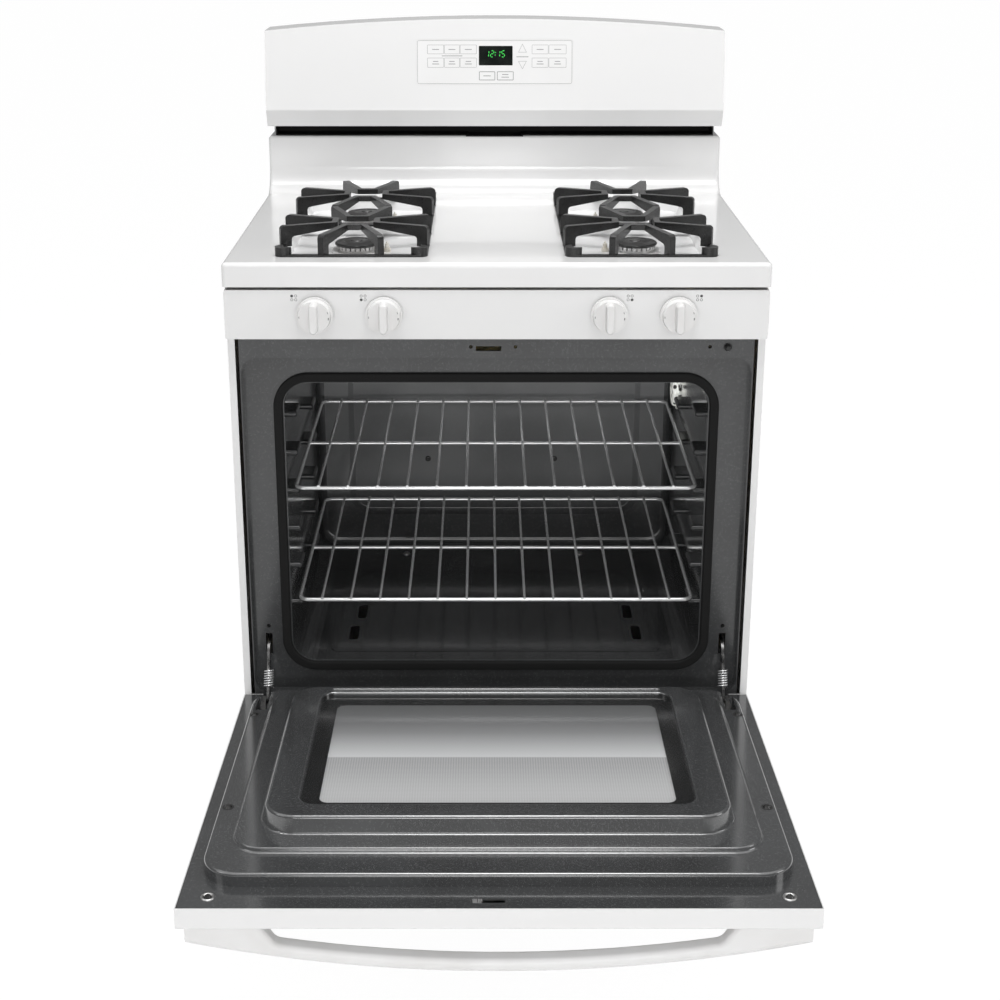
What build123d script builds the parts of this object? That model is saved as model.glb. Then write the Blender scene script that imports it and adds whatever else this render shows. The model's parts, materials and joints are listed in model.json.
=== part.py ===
"""Freestanding gas range, 30 inches wide, with its oven door standing open."""
import os
from math import atan2, cos, sin

from build123d import *

os.makedirs("parts", exist_ok=True)

# Overall sizes in millimetres: X to the right, Y to the back, Z up from the floor.
# Distances called setback run back from the cooktop's front edge.
range_width = 759.0
range_depth = 612.0
body_width = 756.0
cooktop_z = 914.0
front = -27.0
back = front + range_depth
body_back = front + 600.0
sheet = 1.2
running_fit = 0.05

# Cooktop with its upswept rear wall and two burner wells
skirt_height = 34.0
upsweep_y = front + 542.0
upsweep_z = 1005.0
upsweep_radius = 40.0
crest_radius = 4.0
nose_radius = 6.0
well_x = 203.0
well_width = 194.0
well_length = 404.0
well_depth = 16.0
well_radius = 31.0
well_slope = 5.0
well_middle_y = front + 250.0
burner_pitch = 214.0
burner_ys = (well_middle_y - burner_pitch / 2, well_middle_y + burner_pitch / 2)
burner_hole = 17.0

# Control panel and knobs
panel_z = (805.0, 875.5)
panel_y = front + 2.0
panel_depth = 16.0
knob_z = 841.0
knob_xs = (-252.0, -156.0, 156.0, 252.0)
knob_names = ("left_rear", "left_front", "right_front", "right_rear")
knob_radius = 26.0
knob_gap = 5.0

# Backguard console
console_half = 377.0
console_z = (1025.0, 1180.0, 1199.0)
lip_y = front + 508.0
lip_z = 1053.0
lip_under = 12.0
face_lean = 21.0 / 137.0
console_sheet = 1.5
overlay_size = (256.0, 72.0)
overlay_z = 1130.0
overlay_depth = 1.0

# Oven cavity and its front frame
frame_half = 363.5
frame_z = (216.0, 803.0)
frame_y = front + 22.0
frame_sheet = 1.5
recess_half = 362.0
recess_z = (244.0, 772.0)
recess_y = front + 42.0
recess_radius = 24.0
oven_half = 305.0
oven_z = (290.0, 729.0)
oven_radius = 34.0
oven_sheet = 1.5
oven_y = (recess_y + frame_sheet, front + 485.0)
ledge_zs = (375.0, 435.0, 495.0, 555.0, 615.0, 675.0)
ledge_ys = (front + 95.0, front + 310.0)
ledge_length = 46.0
insulation = 32.0

# Racks
rack_half = 296.0
rack_y = (front + 64.0, front + 474.0)
rack_zs = {"rack_lower": 379.0, "rack_upper": 559.0}
rack_rod = 3.0
rack_wire = 2.2
rack_wires = 13
rack_pitch = 43.6

# Door, modelled shut, with its hinge line near its bottom edge
hinge_y = front + 4.0
hinge_z = 240.0
door_turn = 87.0
hinge_line = Axis((0, hinge_y, hinge_z), (1, 0, 0))
door_half = 377.5
door_z = (232.0, 802.0)
rim_y = front + 12.0
door_thick = 27.0
face_y = rim_y - door_thick
liner_sheet = 2.0
window_half = 226.0
window_z = (345.0, 625.0)
hinge_x = 341.0
hinge_pin = 4.0
arm_thick = 4.0
arm_foot_z = 322.0

# Storage drawer
drawer_z = (62.0, 212.0)
drawer_face_y = front - 12.0
drawer_thick = 20.0
drawer_box_half = 330.0
drawer_box_z = (70.0, 190.0)
drawer_box_back = front + 470.0

# Base and feet
rail_z = (20.0, 58.0)
rail_x = (341.0, 376.0)
rail_sheet = 2.0
foot_x = 356.0
foot_ys = (front + 70.0, front + 545.0)


def save(piece, name, turn=0.0):
    # Labels and writes one piece, turned open about the hinge line if it is on the door.
    solid = piece.part.rotate(hinge_line, turn) if turn else piece.part
    solid.label = name
    export_step(solid, f"parts/{name}.step")


def facing_front(y):
    # Plane across the range at y, seen from the front.
    return Plane((0, y, 0), x_dir=(1, 0, 0), z_dir=(0, -1, 0))


def block(x, y, z, mode=Mode.ADD):
    # Box between two limits on each axis.
    with Locations(((x[0] + x[1]) / 2, (y[0] + y[1]) / 2, (z[0] + z[1]) / 2)):
        Box(x[1] - x[0], y[1] - y[0], z[1] - z[0], mode=mode)


def rod(start, end, radius, mode=Mode.ADD):
    # Round bar from one point to another.
    run = Vector(*end) - Vector(*start)
    with Locations(Plane(origin=start, z_dir=run)):
        Cylinder(radius, run.length, align=(Align.CENTER, Align.CENTER, Align.MIN), mode=mode)


def standing(x, y, z, radius, mode=Mode.ADD, flare=0.0):
    # Upright plate with rounded corners, between two limits on each axis, widening forwards by the flare.
    with BuildSketch(facing_front(y[1])) as outline:
        with Locations(((x[0] + x[1]) / 2, (z[0] + z[1]) / 2)):
            RectangleRounded(x[1] - x[0], z[1] - z[0], radius)
    extrude(outline.sketch, amount=y[1] - y[0], taper=-flare, mode=mode)


def lying(x, y, width, length, radius, z, mode=Mode.ADD, taper=0.0):
    # Level plate with rounded corners, centred on x and y, between two heights.
    with BuildSketch(Plane.XY.offset(z[0])) as outline:
        with Locations((x, y)):
            RectangleRounded(width, length, radius)
    extrude(outline.sketch, amount=z[1] - z[0], taper=taper, mode=mode)


def both_sides(limits):
    # The same pair of limits on the left and on the right.
    return ((-limits[1], -limits[0]), limits)


# Side panels: skins with returns at the front and rear, and an upstand that carries the cooktop
panel_half = body_width / 2
side_limits = both_sides((panel_half - sheet, panel_half))
return_limits = both_sides((panel_half - 10.0, panel_half))
rear_return_limits = both_sides((panel_half - 24.0, panel_half))
upstand_limits = both_sides((panel_half - 24.0, panel_half - 24.0 + sheet))
side_z = (20.0, cooktop_z - nose_radius - 2 * sheet)
side_front = front + 18.0
upstand_y = (front + 60.0, front + 490.0)
rear_seam_z = 880.0
for side, name in enumerate(("side_panel_left", "side_panel_right")):
    with BuildPart() as side_panel:
        block(side_limits[side], (side_front, body_back), side_z)
        block(return_limits[side], (side_front, side_front + sheet), (side_z[0], panel_z[1]))
        block(rear_return_limits[side], (body_back - sheet, body_back), (side_z[0], rear_seam_z))
        block(rear_return_limits[side], upstand_y, (side_z[1] - sheet, side_z[1]))
        block(upstand_limits[side], upstand_y, (side_z[1] - sheet, cooktop_z - sheet))
    save(side_panel, name)

# Rear panel with louvres, a gas opening and a cord hole
gland_x = -280.0
gland_z = 130.0
inlet_x = 60.0
inlet_z = 130.0
rear_half = 376.0
with BuildPart() as rear_panel:
    block((-rear_half, rear_half), (body_back, body_back + sheet), (40.0, rear_seam_z - 1))
    block((inlet_x - 50, inlet_x + 50), (body_back - 1, body_back + 3), (70.0, 190.0), Mode.SUBTRACT)
    rod((gland_x, body_back - 1, gland_z), (gland_x, body_back + 3, gland_z), 11.0, Mode.SUBTRACT)
    with BuildSketch(facing_front(body_back + 3)):
        with Locations((-180, 780), (180, 780)):
            with GridLocations(0, 18, 1, 5):
                SlotOverall(180, 6)
    extrude(amount=6, mode=Mode.SUBTRACT)
save(rear_panel, "rear_panel")

# Base frame: welded channels that carry the feet, with a ledge on each side for the drawer
rail_top = drawer_box_z[0] - 0.4
slide_y = (front + 60.0, front + 500.0)
with BuildPart() as base_frame:
    for limits in both_sides(rail_x):
        block(limits, (front + 24.0, body_back - 4), rail_z)
    block((-rail_x[1], rail_x[1]), (front + 24.0, front + 54.0), rail_z)
    block((-rail_x[1], rail_x[1]), (body_back - 40.0, body_back - 4), rail_z)
    hollow_z = (rail_z[0] + rail_sheet, rail_z[1] - rail_sheet)
    for limits in both_sides((rail_x[0] - 3, rail_x[1] - rail_sheet)):
        block(limits, (front + 54.0, body_back - 40.0), hollow_z, Mode.SUBTRACT)
    block((-rail_x[0], rail_x[0]), (front + 24 + rail_sheet, front + 57.0), hollow_z, Mode.SUBTRACT)
    block((-rail_x[0], rail_x[0]), (body_back - 43, body_back - 4 - rail_sheet), hollow_z, Mode.SUBTRACT)
    for x in (-foot_x, foot_x):
        for y in foot_ys:
            rod((x, y, rail_z[0] - 1), (x, y, rail_z[0] + 20), 5.2, Mode.SUBTRACT)
    for web in both_sides((rail_x[0], rail_x[0] + rail_sheet)):
        block(web, slide_y, (rail_z[1] - 1, rail_top))
    for ledge in both_sides((rail_x[0] - 24, rail_x[0] + rail_sheet)):
        block(ledge, slide_y, (rail_top - rail_sheet, rail_top))
save(base_frame, "base_frame")

# Levelling feet: pad, neck, nut and threaded stem
with BuildPart() as levelling_legs:
    with Locations(*[(x, y, 0) for x in (-foot_x, foot_x) for y in foot_ys]):
        Cone(16, 13, 7, align=(Align.CENTER, Align.CENTER, Align.MIN))
        Cylinder(5, 38, align=(Align.CENTER, Align.CENTER, Align.MIN))
    with BuildSketch(Plane.XY.offset(14)):
        with Locations(*[(x, y) for x in (-foot_x, foot_x) for y in foot_ys]):
            RegularPolygon(10, 6)
    extrude(amount=rail_z[0] - 14)
save(levelling_legs, "levelling_legs")

# Oven liner: rounded wrap with a rolled rear edge, open to the front
light_y = front + 390.0
light_z = 606.0
light_radius = 31.0
floor_hole = (480.0, 350.0)
floor_middle_y = front + 265.0
flue_x = 45.0
flue_z = (694.0, 713.0)
chimney_half = flue_x + 3.0
chimney_y = (body_back - 56.0, body_back - 12.0)
rear_radius = 12.0
wall_half = oven_half - rear_radius
wall_z = (oven_z[0] + rear_radius, oven_z[1] - rear_radius)
wall_radius = oven_radius - rear_radius
with BuildPart() as cavity:
    standing((-oven_half, oven_half), (oven_y[0] - 1, oven_y[1]), oven_z, oven_radius)
    fillet(cavity.faces().sort_by(Axis.Y)[-1].edges(), rear_radius)
with BuildPart() as oven_liner:
    standing(
        (-oven_half - oven_sheet, oven_half + oven_sheet),
        (oven_y[0], oven_y[1] + oven_sheet),
        (oven_z[0] - oven_sheet, oven_z[1] + oven_sheet),
        oven_radius + oven_sheet,
    )
    fillet(oven_liner.faces().sort_by(Axis.Y)[-1].edges(), rear_radius + oven_sheet)
    add(cavity.part, mode=Mode.SUBTRACT)
    standing((-wall_half, wall_half), (oven_y[1] - 1, oven_y[1] + 5), wall_z, wall_radius, Mode.SUBTRACT)
    block((-floor_hole[0] / 2, floor_hole[0] / 2),
          (floor_middle_y - floor_hole[1] / 2, floor_middle_y + floor_hole[1] / 2),
          (oven_z[0] - 10, oven_z[0] + 1), Mode.SUBTRACT)
    rod((oven_half - 5, light_y, light_z), (oven_half + 5, light_y, light_z), 20.0, Mode.SUBTRACT)
save(oven_liner, "oven_liner")

# Rear wall of the oven, pressed back with sloping sides and cut for the flue
pressing = {"half": 243.0, "z": (355.0, 676.0), "radius": 30.0, "depth": 7.0, "slope": 52.0}
pressing_y = oven_y[1] + pressing["depth"]
with BuildPart() as oven_back_wall:
    standing((-wall_half, wall_half), (oven_y[1], oven_y[1] + oven_sheet), wall_z, wall_radius)
    standing((-pressing["half"], pressing["half"]), (oven_y[1] + oven_sheet / 2, pressing_y + oven_sheet),
             pressing["z"], pressing["radius"], flare=pressing["slope"])
    standing((-pressing["half"], pressing["half"]), (oven_y[1], pressing_y),
             pressing["z"], pressing["radius"], Mode.SUBTRACT, pressing["slope"])
    fillet(oven_back_wall.edges().filter_by_position(Axis.Y, pressing_y - 0.1, pressing_y + 0.1), 3)
    block((-flue_x, flue_x), (oven_y[1] - 1, oven_y[1] + 5), flue_z, Mode.SUBTRACT)
save(oven_back_wall, "oven_back_wall")

# Rack supports: short rounded ledges in two columns on each side wall
ledge_reach = 14.0
ledge_height = 9.0
ledge_round = 4.2
with BuildPart() as rack_supports:
    for z in ledge_zs:
        for y in ledge_ys:
            for limits in both_sides((oven_half - ledge_reach, oven_half)):
                block(limits, (y - ledge_length / 2, y + ledge_length / 2), (z - ledge_height, z))
    free_edges = rack_supports.edges().filter_by(lambda edge: abs(edge.center().X) < oven_half - 0.01)
    fillet(free_edges, ledge_round)
save(rack_supports, "rack_supports")

# Oven floor panel with four long slots
with BuildPart() as oven_bottom_panel:
    lying(0, floor_middle_y, floor_hole[0] + 24, floor_hole[1] + 40, 12, (oven_z[0], oven_z[0] + 2))
    for y, half in ((front + 130.0, 220.0), (front + 205.0, 212.0)):
        for x in (-half, half):
            lying(x, y, 14, 50, 5, (oven_z[0] - 1, oven_z[0] + 4), Mode.SUBTRACT)
save(oven_bottom_panel, "oven_bottom_panel")

# Insulation blanket wrapped round the liner, open below for the burner
blanket_gap = 0.6
blanket_z = (oven_z[0] - 28, oven_z[1] + insulation + 8)
with BuildPart() as oven_insulation:
    grown = oven_half + oven_sheet + blanket_gap
    standing((-grown - insulation, grown + insulation), (front + 78.0, oven_y[1] + insulation),
             blanket_z, 60)
    standing((-grown, grown), (front + 70.0, oven_y[1] + oven_sheet + blanket_gap),
             (oven_z[0] - oven_sheet - blanket_gap, oven_z[1] + oven_sheet + blanket_gap),
             oven_radius + oven_sheet + blanket_gap, Mode.SUBTRACT)
    standing((-pressing["half"] - 14, pressing["half"] + 14),
             (oven_y[1], pressing_y + oven_sheet + blanket_gap),
             (pressing["z"][0] - 14, pressing["z"][1] + 14), pressing["radius"], Mode.SUBTRACT)
    block((-floor_hole[0] / 2 - 10, floor_hole[0] / 2 + 10), (front + 60.0, body_back),
          (200.0, oven_z[0] + 1), Mode.SUBTRACT)
    block((-flue_x - 4, flue_x + 4), (oven_y[1], body_back), (flue_z[0] - 4, flue_z[1] + 4),
          Mode.SUBTRACT)
    rod((oven_half - 5, light_y, light_z), (oven_half + 60, light_y, light_z), 26.0, Mode.SUBTRACT)
save(oven_insulation, "oven_insulation")

# Front frame: narrow border, stepped recess and the oven mouth
latch_x = (-29.0, 7.0)
switch_x = 326.0
switch_z = 788.0
switch_radius = 4.0
with BuildPart() as oven_front_frame:
    block((-frame_half, frame_half), (frame_y, frame_y + frame_sheet), frame_z)
    standing((-recess_half - frame_sheet, recess_half + frame_sheet),
             (frame_y + frame_sheet / 2, recess_y + frame_sheet),
             (recess_z[0] - frame_sheet, recess_z[1] + frame_sheet), recess_radius + frame_sheet)
    standing((-recess_half, recess_half), (frame_y - 1, recess_y), recess_z, recess_radius, Mode.SUBTRACT)
    standing((-oven_half, oven_half), (frame_y - 1, recess_y + 5), oven_z, oven_radius, Mode.SUBTRACT)
    block(latch_x, (frame_y - 1, frame_y + 5), (switch_z - 6, switch_z + 1), Mode.SUBTRACT)
    for x in (latch_x[0] - 7, latch_x[1] + 20, switch_x - 25):
        rod((x, frame_y - 1, switch_z), (x, frame_y + 5, switch_z), 2.5, Mode.SUBTRACT)
    rod((switch_x, frame_y - 1, switch_z), (switch_x, frame_y + 5, switch_z), 6.0, Mode.SUBTRACT)
    for limits in both_sides((hinge_x - 5, hinge_x + 5)):
        block(limits, (recess_y - 1, recess_y + 5), (arm_foot_z - 22, arm_foot_z + 12), Mode.SUBTRACT)
    for x in (-hinge_x, hinge_x):
        rod((x, recess_y - 1, arm_foot_z + 24), (x, recess_y + 5, arm_foot_z + 24), 3.0, Mode.SUBTRACT)
save(oven_front_frame, "oven_front_frame")

# Door gasket: a soft ring round the oven mouth
gasket_thick = 6.0
gasket_inset = 2.0
gasket_reach = 15.0
with BuildPart() as door_gasket:
    standing((-oven_half - gasket_reach, oven_half + gasket_reach), (recess_y - gasket_thick, recess_y),
             (oven_z[0] - gasket_reach, oven_z[1] + gasket_reach), oven_radius + gasket_reach + 2)
    standing((-oven_half - gasket_inset, oven_half + gasket_inset), (recess_y - 10, recess_y + 1),
             (oven_z[0] - gasket_inset, oven_z[1] + gasket_inset), oven_radius + gasket_inset + 2,
             Mode.SUBTRACT)
    fillet(door_gasket.edges().group_by(Axis.Y)[0], 2.4)
save(door_gasket, "door_gasket")


def cooktop_block(inset):
    # Cooktop's solid form, drawn in by inset on every skinned face.
    skirt_z = cooktop_z - skirt_height - inset
    with BuildPart() as form:
        with BuildSketch(Plane.YZ):
            with BuildLine():
                FilletPolyline(
                    (front + inset, skirt_z),
                    (front + inset, cooktop_z - inset),
                    (upsweep_y + inset, cooktop_z - inset),
                    (upsweep_y + inset, upsweep_z - inset),
                    (body_back + inset, upsweep_z - inset),
                    (body_back + inset, skirt_z),
                    radius=[0, nose_radius - inset, upsweep_radius + inset, crest_radius - inset, 0, 0],
                    close=True,
                )
            make_face()
        extrude(amount=range_width / 2 - inset, both=True)
        fillet(form.edges().filter_by(Axis.Z).group_by(Axis.Y)[0], nose_radius - inset)
    return form.part


# Cooktop: one upswept skin with two recessed wells and four burner holes
well_floor = cooktop_z - well_depth
with BuildPart() as cooktop:
    add(cooktop_block(0))
    add(cooktop_block(sheet), mode=Mode.SUBTRACT)
    block((-chimney_half - 0.5, chimney_half + 0.5), (chimney_y[0] - 0.5, chimney_y[1] + 0.5),
          (upsweep_z - 5, upsweep_z + 1), Mode.SUBTRACT)
    for x in (-well_x, well_x):
        lying(x, well_middle_y, well_width + 2 * sheet, well_length + 2 * sheet, well_radius + sheet,
              (well_floor - sheet, cooktop_z - sheet / 2))
        lying(x, well_middle_y, well_width - 2 * well_slope, well_length - 2 * well_slope,
              well_radius - well_slope, (well_floor, cooktop_z + 2), Mode.SUBTRACT, taper=-15)
        for y in burner_ys:
            rod((x, y, well_floor - 5), (x, y, well_floor + 5), burner_hole, Mode.SUBTRACT)
save(cooktop, "cooktop")

# Control panel: a shallow tray with a hole for each valve stem
with BuildPart() as control_panel:
    standing((-panel_half, panel_half), (panel_y, panel_y + panel_depth), panel_z, 3)
    standing((-panel_half + sheet, panel_half - sheet), (panel_y + sheet, panel_y + panel_depth + 1),
             (panel_z[0] + sheet, panel_z[1] - sheet), 2, Mode.SUBTRACT)
    for x in knob_xs:
        rod((x, panel_y - 1, knob_z), (x, panel_y + 5, knob_z), 8.0, Mode.SUBTRACT)
save(control_panel, "control_panel")


def console_block(inset):
    # Console's solid form: arched front outline crossed with its side view.
    half = console_half - inset
    with BuildSketch(facing_front(body_back)) as outline:
        with BuildLine():
            Polyline((-half, console_z[1] - inset), (-half, console_z[0] + inset),
                     (half, console_z[0] + inset), (half, console_z[1] - inset))
            ThreePointArc((half, console_z[1] - inset), (0, console_z[2] - inset),
                          (-half, console_z[1] - inset))
        make_face()
    extrude(outline.sketch, amount=150)
    top = console_z[2] + 10
    with BuildSketch(Plane.YZ) as side_view:
        with BuildLine():
            FilletPolyline(
                (lip_y + inset, lip_z),
                (lip_y + inset + lip_under, console_z[0]),
                (body_back + 1, console_z[0]),
                (body_back + 1, top),
                (lip_y + inset + (top - lip_z) * face_lean, top),
                radius=[5, 2, 0, 0, 0],
                close=True,
            )
        make_face()
    extrude(side_view.sketch, amount=half + 1, both=True, mode=Mode.INTERSECT)


# Leaning plane of the console's face, through the middle of the overlay
lean = atan2(face_lean, 1.0)
overlay_y = lip_y + (overlay_z - lip_z) * face_lean
console_face = Plane((0, overlay_y, overlay_z), x_dir=(1, 0, 0), z_dir=(0, -cos(lean), sin(lean)))

# Backguard console: hollow, with a shallow seat for the overlay
with BuildPart() as console_core:
    console_block(console_sheet)
with BuildPart() as backguard_console:
    console_block(0)
    add(console_core.part, mode=Mode.SUBTRACT)
    block((-console_half + 2, console_half - 2), (body_back - 3, body_back + 3),
          (console_z[0] + 2, console_z[1] - 4), Mode.SUBTRACT)
    with BuildSketch(console_face):
        RectangleRounded(*overlay_size, 4)
    extrude(amount=-overlay_depth, mode=Mode.SUBTRACT)
    with BuildSketch(console_face):
        Rectangle(60, 20)
    extrude(amount=-4, mode=Mode.SUBTRACT)
save(backguard_console, "backguard_console")

# Key overlay film in its seat
with BuildPart() as control_overlay:
    with BuildSketch(console_face.offset(-overlay_depth)):
        RectangleRounded(overlay_size[0] - 0.4, overlay_size[1] - 0.4, 3.8)
    extrude(amount=overlay_depth - 0.1)
save(control_overlay, "control_overlay")

# Control board behind the overlay, on four posts
with BuildPart() as control_board:
    with BuildSketch(console_face.offset(-console_sheet)):
        with GridLocations(200, 40, 2, 2):
            Circle(4)
    extrude(amount=-10)
    with BuildSketch(console_face.offset(-console_sheet - 10)):
        Rectangle(230, 58)
    extrude(amount=-1.6)
    with BuildSketch(console_face.offset(-console_sheet - 11.6)):
        with GridLocations(50, 0, 4, 1):
            Rectangle(20, 26)
    extrude(amount=-16)
save(control_board, "control_board")

# Cover over the backguard's rear, pressed out into a louvred pan
pan_half = 330.0
pan_z = (900.0, 1150.0)
pan_radius = 20.0
cover_top = (console_z[1] - 1.0, console_z[2] - 1.0)
with BuildPart() as backguard_rear_cover:
    with BuildSketch(facing_front(body_back + sheet)):
        with BuildLine():
            Polyline((-rear_half, cover_top[0]), (-rear_half, rear_seam_z),
                     (rear_half, rear_seam_z), (rear_half, cover_top[0]))
            ThreePointArc((rear_half, cover_top[0]), (0, cover_top[1]), (-rear_half, cover_top[0]))
        make_face()
    extrude(amount=sheet)
    standing((-pan_half, pan_half), (body_back + sheet / 2, back), pan_z, pan_radius)
    standing((-pan_half + sheet, pan_half - sheet), (body_back - 1, back - sheet),
             (pan_z[0] + sheet, pan_z[1] - sheet), pan_radius - sheet, Mode.SUBTRACT)
    with BuildSketch(facing_front(back + 1)):
        with Locations((-150, 1000), (150, 1000)):
            with GridLocations(0, 20, 1, 6):
                SlotOverall(200, 6)
    extrude(amount=5, mode=Mode.SUBTRACT)
save(backguard_rear_cover, "backguard_rear_cover")

# Flue: from the oven's rear wall up to the long vent under the console
vent_z = (upsweep_z, console_z[0])
vent_y = (upsweep_y + 12.0, chimney_y[1])
vent_half = 368.0
vent_sheet = 1.5
flue_sheet = chimney_half - flue_x
outlet_y = oven_y[1] + oven_sheet
with BuildPart() as vent_duct:
    block((-vent_half, vent_half), vent_y, vent_z)
    block((-chimney_half, chimney_half), chimney_y, (flue_z[0] - flue_sheet, vent_z[0] + 1))
    block((-chimney_half, chimney_half), (outlet_y, chimney_y[1]),
          (flue_z[0] - flue_sheet, flue_z[1] + flue_sheet))
    block((-vent_half + vent_sheet, vent_half - vent_sheet), (vent_y[0] - 1, vent_y[1] - vent_sheet),
          (vent_z[0] + vent_sheet, vent_z[1] - vent_sheet), Mode.SUBTRACT)
    block((-flue_x, flue_x), (chimney_y[0] + flue_sheet, chimney_y[1] - flue_sheet),
          (flue_z[0], vent_z[0] + 3), Mode.SUBTRACT)
    block((-flue_x, flue_x), (outlet_y - 1, chimney_y[1] - flue_sheet), flue_z, Mode.SUBTRACT)
save(vent_duct, "vent_duct")

# Gas manifold: square rail behind the panel and a pipe down to the regulator
valve_y = (front + 30.0, front + 61.0)
manifold_half = 300.0
manifold_y = (valve_y[1], valve_y[1] + 22)
manifold_z = (knob_z - 11, knob_z + 11)
riser_y = front + 572.0
pipe_radius = 8.0
with BuildPart() as manifold_pipe:
    block((-manifold_half, manifold_half), manifold_y, manifold_z)
    block((-manifold_half + 2, manifold_half - 2), (manifold_y[0] + 2, manifold_y[1] - 2),
          (manifold_z[0] + 2, manifold_z[1] - 2), Mode.SUBTRACT)
    with BuildLine():
        FilletPolyline((inlet_x, manifold_y[1], knob_z), (inlet_x, riser_y, knob_z),
                       (inlet_x, riser_y, inlet_z + 34), radius=40)
    with BuildSketch(facing_front(manifold_y[1])):
        with Locations((inlet_x, knob_z)):
            Circle(pipe_radius)
    sweep()
save(manifold_pipe, "manifold_pipe")

# Pressure regulator with its threaded inlet facing the rear
inlet_thread = 9.2
inlet_depth = 18.0
with BuildPart() as pressure_regulator:
    rod((inlet_x, riser_y, inlet_z - 14), (inlet_x, riser_y, inlet_z + 34), 13)
    rod((inlet_x, riser_y - 30, inlet_z), (inlet_x, riser_y + 24, inlet_z), 24)
    rod((inlet_x, riser_y - 36, inlet_z), (inlet_x, riser_y - 30, inlet_z), 12)
    with BuildSketch(facing_front(riser_y + 38)):
        with Locations((inlet_x, inlet_z)):
            RegularPolygon(17, 6)
    extrude(amount=15)
    rod((inlet_x, riser_y + 38 - inlet_depth, inlet_z), (inlet_x, riser_y + 39, inlet_z),
        inlet_thread, Mode.SUBTRACT)
save(pressure_regulator, "pressure_regulator")

# Cord gland in the rear panel
gland_bore = 6.0
with BuildPart() as cord_inlet:
    rod((gland_x, body_back - 6, gland_z), (gland_x, body_back + sheet, gland_z), 10.9)
    rod((gland_x, body_back + sheet, gland_z), (gland_x, body_back + sheet + 4, gland_z), 15)
    rod((gland_x, body_back - 7, gland_z), (gland_x, body_back + 10, gland_z), gland_bore, Mode.SUBTRACT)
save(cord_inlet, "cord_inlet")

# Burner valves on the manifold, each bored for its plug
plug_radius = 7.0
plug_y = (valve_y[0] + 10, valve_y[1] - 9)
with BuildPart() as burner_valves:
    for x in knob_xs:
        block((x - 13, x + 13), valve_y, (knob_z - 13, knob_z + 13))
        rod((x, valve_y[0] - 1, knob_z), (x, plug_y[1], knob_z), plug_radius + running_fit, Mode.SUBTRACT)
save(burner_valves, "burner_valves")

# Plugs, stems and knobs: a plug turns in its valve and a knob's stem slides in its plug
stem_radius = 3.0
push_travel = 3.5
socket_depth = 8.0
knob_back = panel_y - knob_gap
stem_y = (knob_back - 14, plug_y[0] + socket_depth - push_travel - 1)
for x, name in zip(knob_xs, knob_names):
    with BuildPart() as valve_plug:
        rod((x, plug_y[0], knob_z), (x, plug_y[1], knob_z), plug_radius)
        rod((x, plug_y[0] - 1, knob_z), (x, plug_y[0] + socket_depth, knob_z),
            stem_radius + running_fit, Mode.SUBTRACT)
    save(valve_plug, f"valve_plug_{name}")

    with BuildPart() as valve_stem:
        rod((x, stem_y[0], knob_z), (x, stem_y[1], knob_z), stem_radius)
    save(valve_stem, f"valve_stem_{name}")

    with BuildPart() as knob:
        with Locations(Plane((x, knob_back, knob_z), z_dir=(0, -1, 0))):
            Cylinder(knob_radius, 5, align=(Align.CENTER, Align.CENTER, Align.MIN))
            Cone(knob_radius - 1.5, knob_radius - 4, 13, align=(Align.CENTER, Align.CENTER, Align.MIN))
        with BuildSketch(facing_front(knob_back - 12)):
            with Locations((x, knob_z)):
                SlotOverall(2 * knob_radius - 8, 13, rotation=90)
        extrude(amount=15, taper=5)
        fillet(knob.faces().sort_by(Axis.Y)[0].edges(), 2)
        rod((x, knob_back + 1, knob_z), (x, stem_y[0], knob_z), stem_radius + running_fit, Mode.SUBTRACT)
    save(knob, f"knob_{name}")

# Aluminium tubes from the valves to the burners
burner_places = [(-well_x, burner_ys[1]), (-well_x, burner_ys[0]),
                 (well_x, burner_ys[0]), (well_x, burner_ys[1])]
tube_z = knob_z + 27
tube_radius = 4.0
with BuildPart() as burner_tubes:
    for x, (burner_x, burner_y) in zip(knob_xs, burner_places):
        start = Vector(x, valve_y[0] + 16, knob_z + 13)
        bend = Vector(x, valve_y[0] + 16, tube_z)
        reach = Vector(burner_x, burner_y, tube_z) - bend
        end = bend + reach * ((reach.length - 14.5) / reach.length)
        with BuildLine():
            FilletPolyline(start, bend, end, radius=11)
        with BuildSketch(Plane.XY.offset(start.Z)):
            with Locations((start.X, start.Y)):
                Circle(tube_radius)
        sweep()
save(burner_tubes, "burner_tubes")

# Burner bases: orifice holder, flange and slotted head
head_z = (well_floor + 4, well_floor + 12)
port_count = 24
with BuildPart() as burner_bases:
    for x, y in burner_places:
        rod((x, y, tube_z - 12), (x, y, well_floor + 1), 14)
        rod((x, y, well_floor), (x, y, head_z[0]), 36)
        rod((x, y, head_z[0]), (x, y, head_z[1]), 28)
        with Locations((x, y, head_z[1] - 3)):
            with PolarLocations(26, port_count):
                Box(8, 1.8, 6.1, mode=Mode.SUBTRACT)
save(burner_bases, "burner_bases")

# Burner caps: loose enamelled lids with a rolled edge and a raised centre
with BuildPart() as burner_caps:
    for x, y in burner_places:
        with BuildSketch(Plane((x, y, head_z[1]), x_dir=(1, 0, 0), z_dir=(0, -1, 0))):
            with BuildLine():
                Polyline((0, 0), (28.4, 0), (28.4, -1), (30.5, -1))
                ThreePointArc((30.5, -1), (31.5, 1), (29.5, 3.5))
                Polyline((29.5, 3.5), (20, 5), (18, 4.2), (9, 4.6), (8, 5.6), (0, 5.8), (0, 0))
            make_face()
        revolve(axis=Axis((x, y, 0), (0, 0, 1)))
save(burner_caps, "burner_caps")

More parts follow.
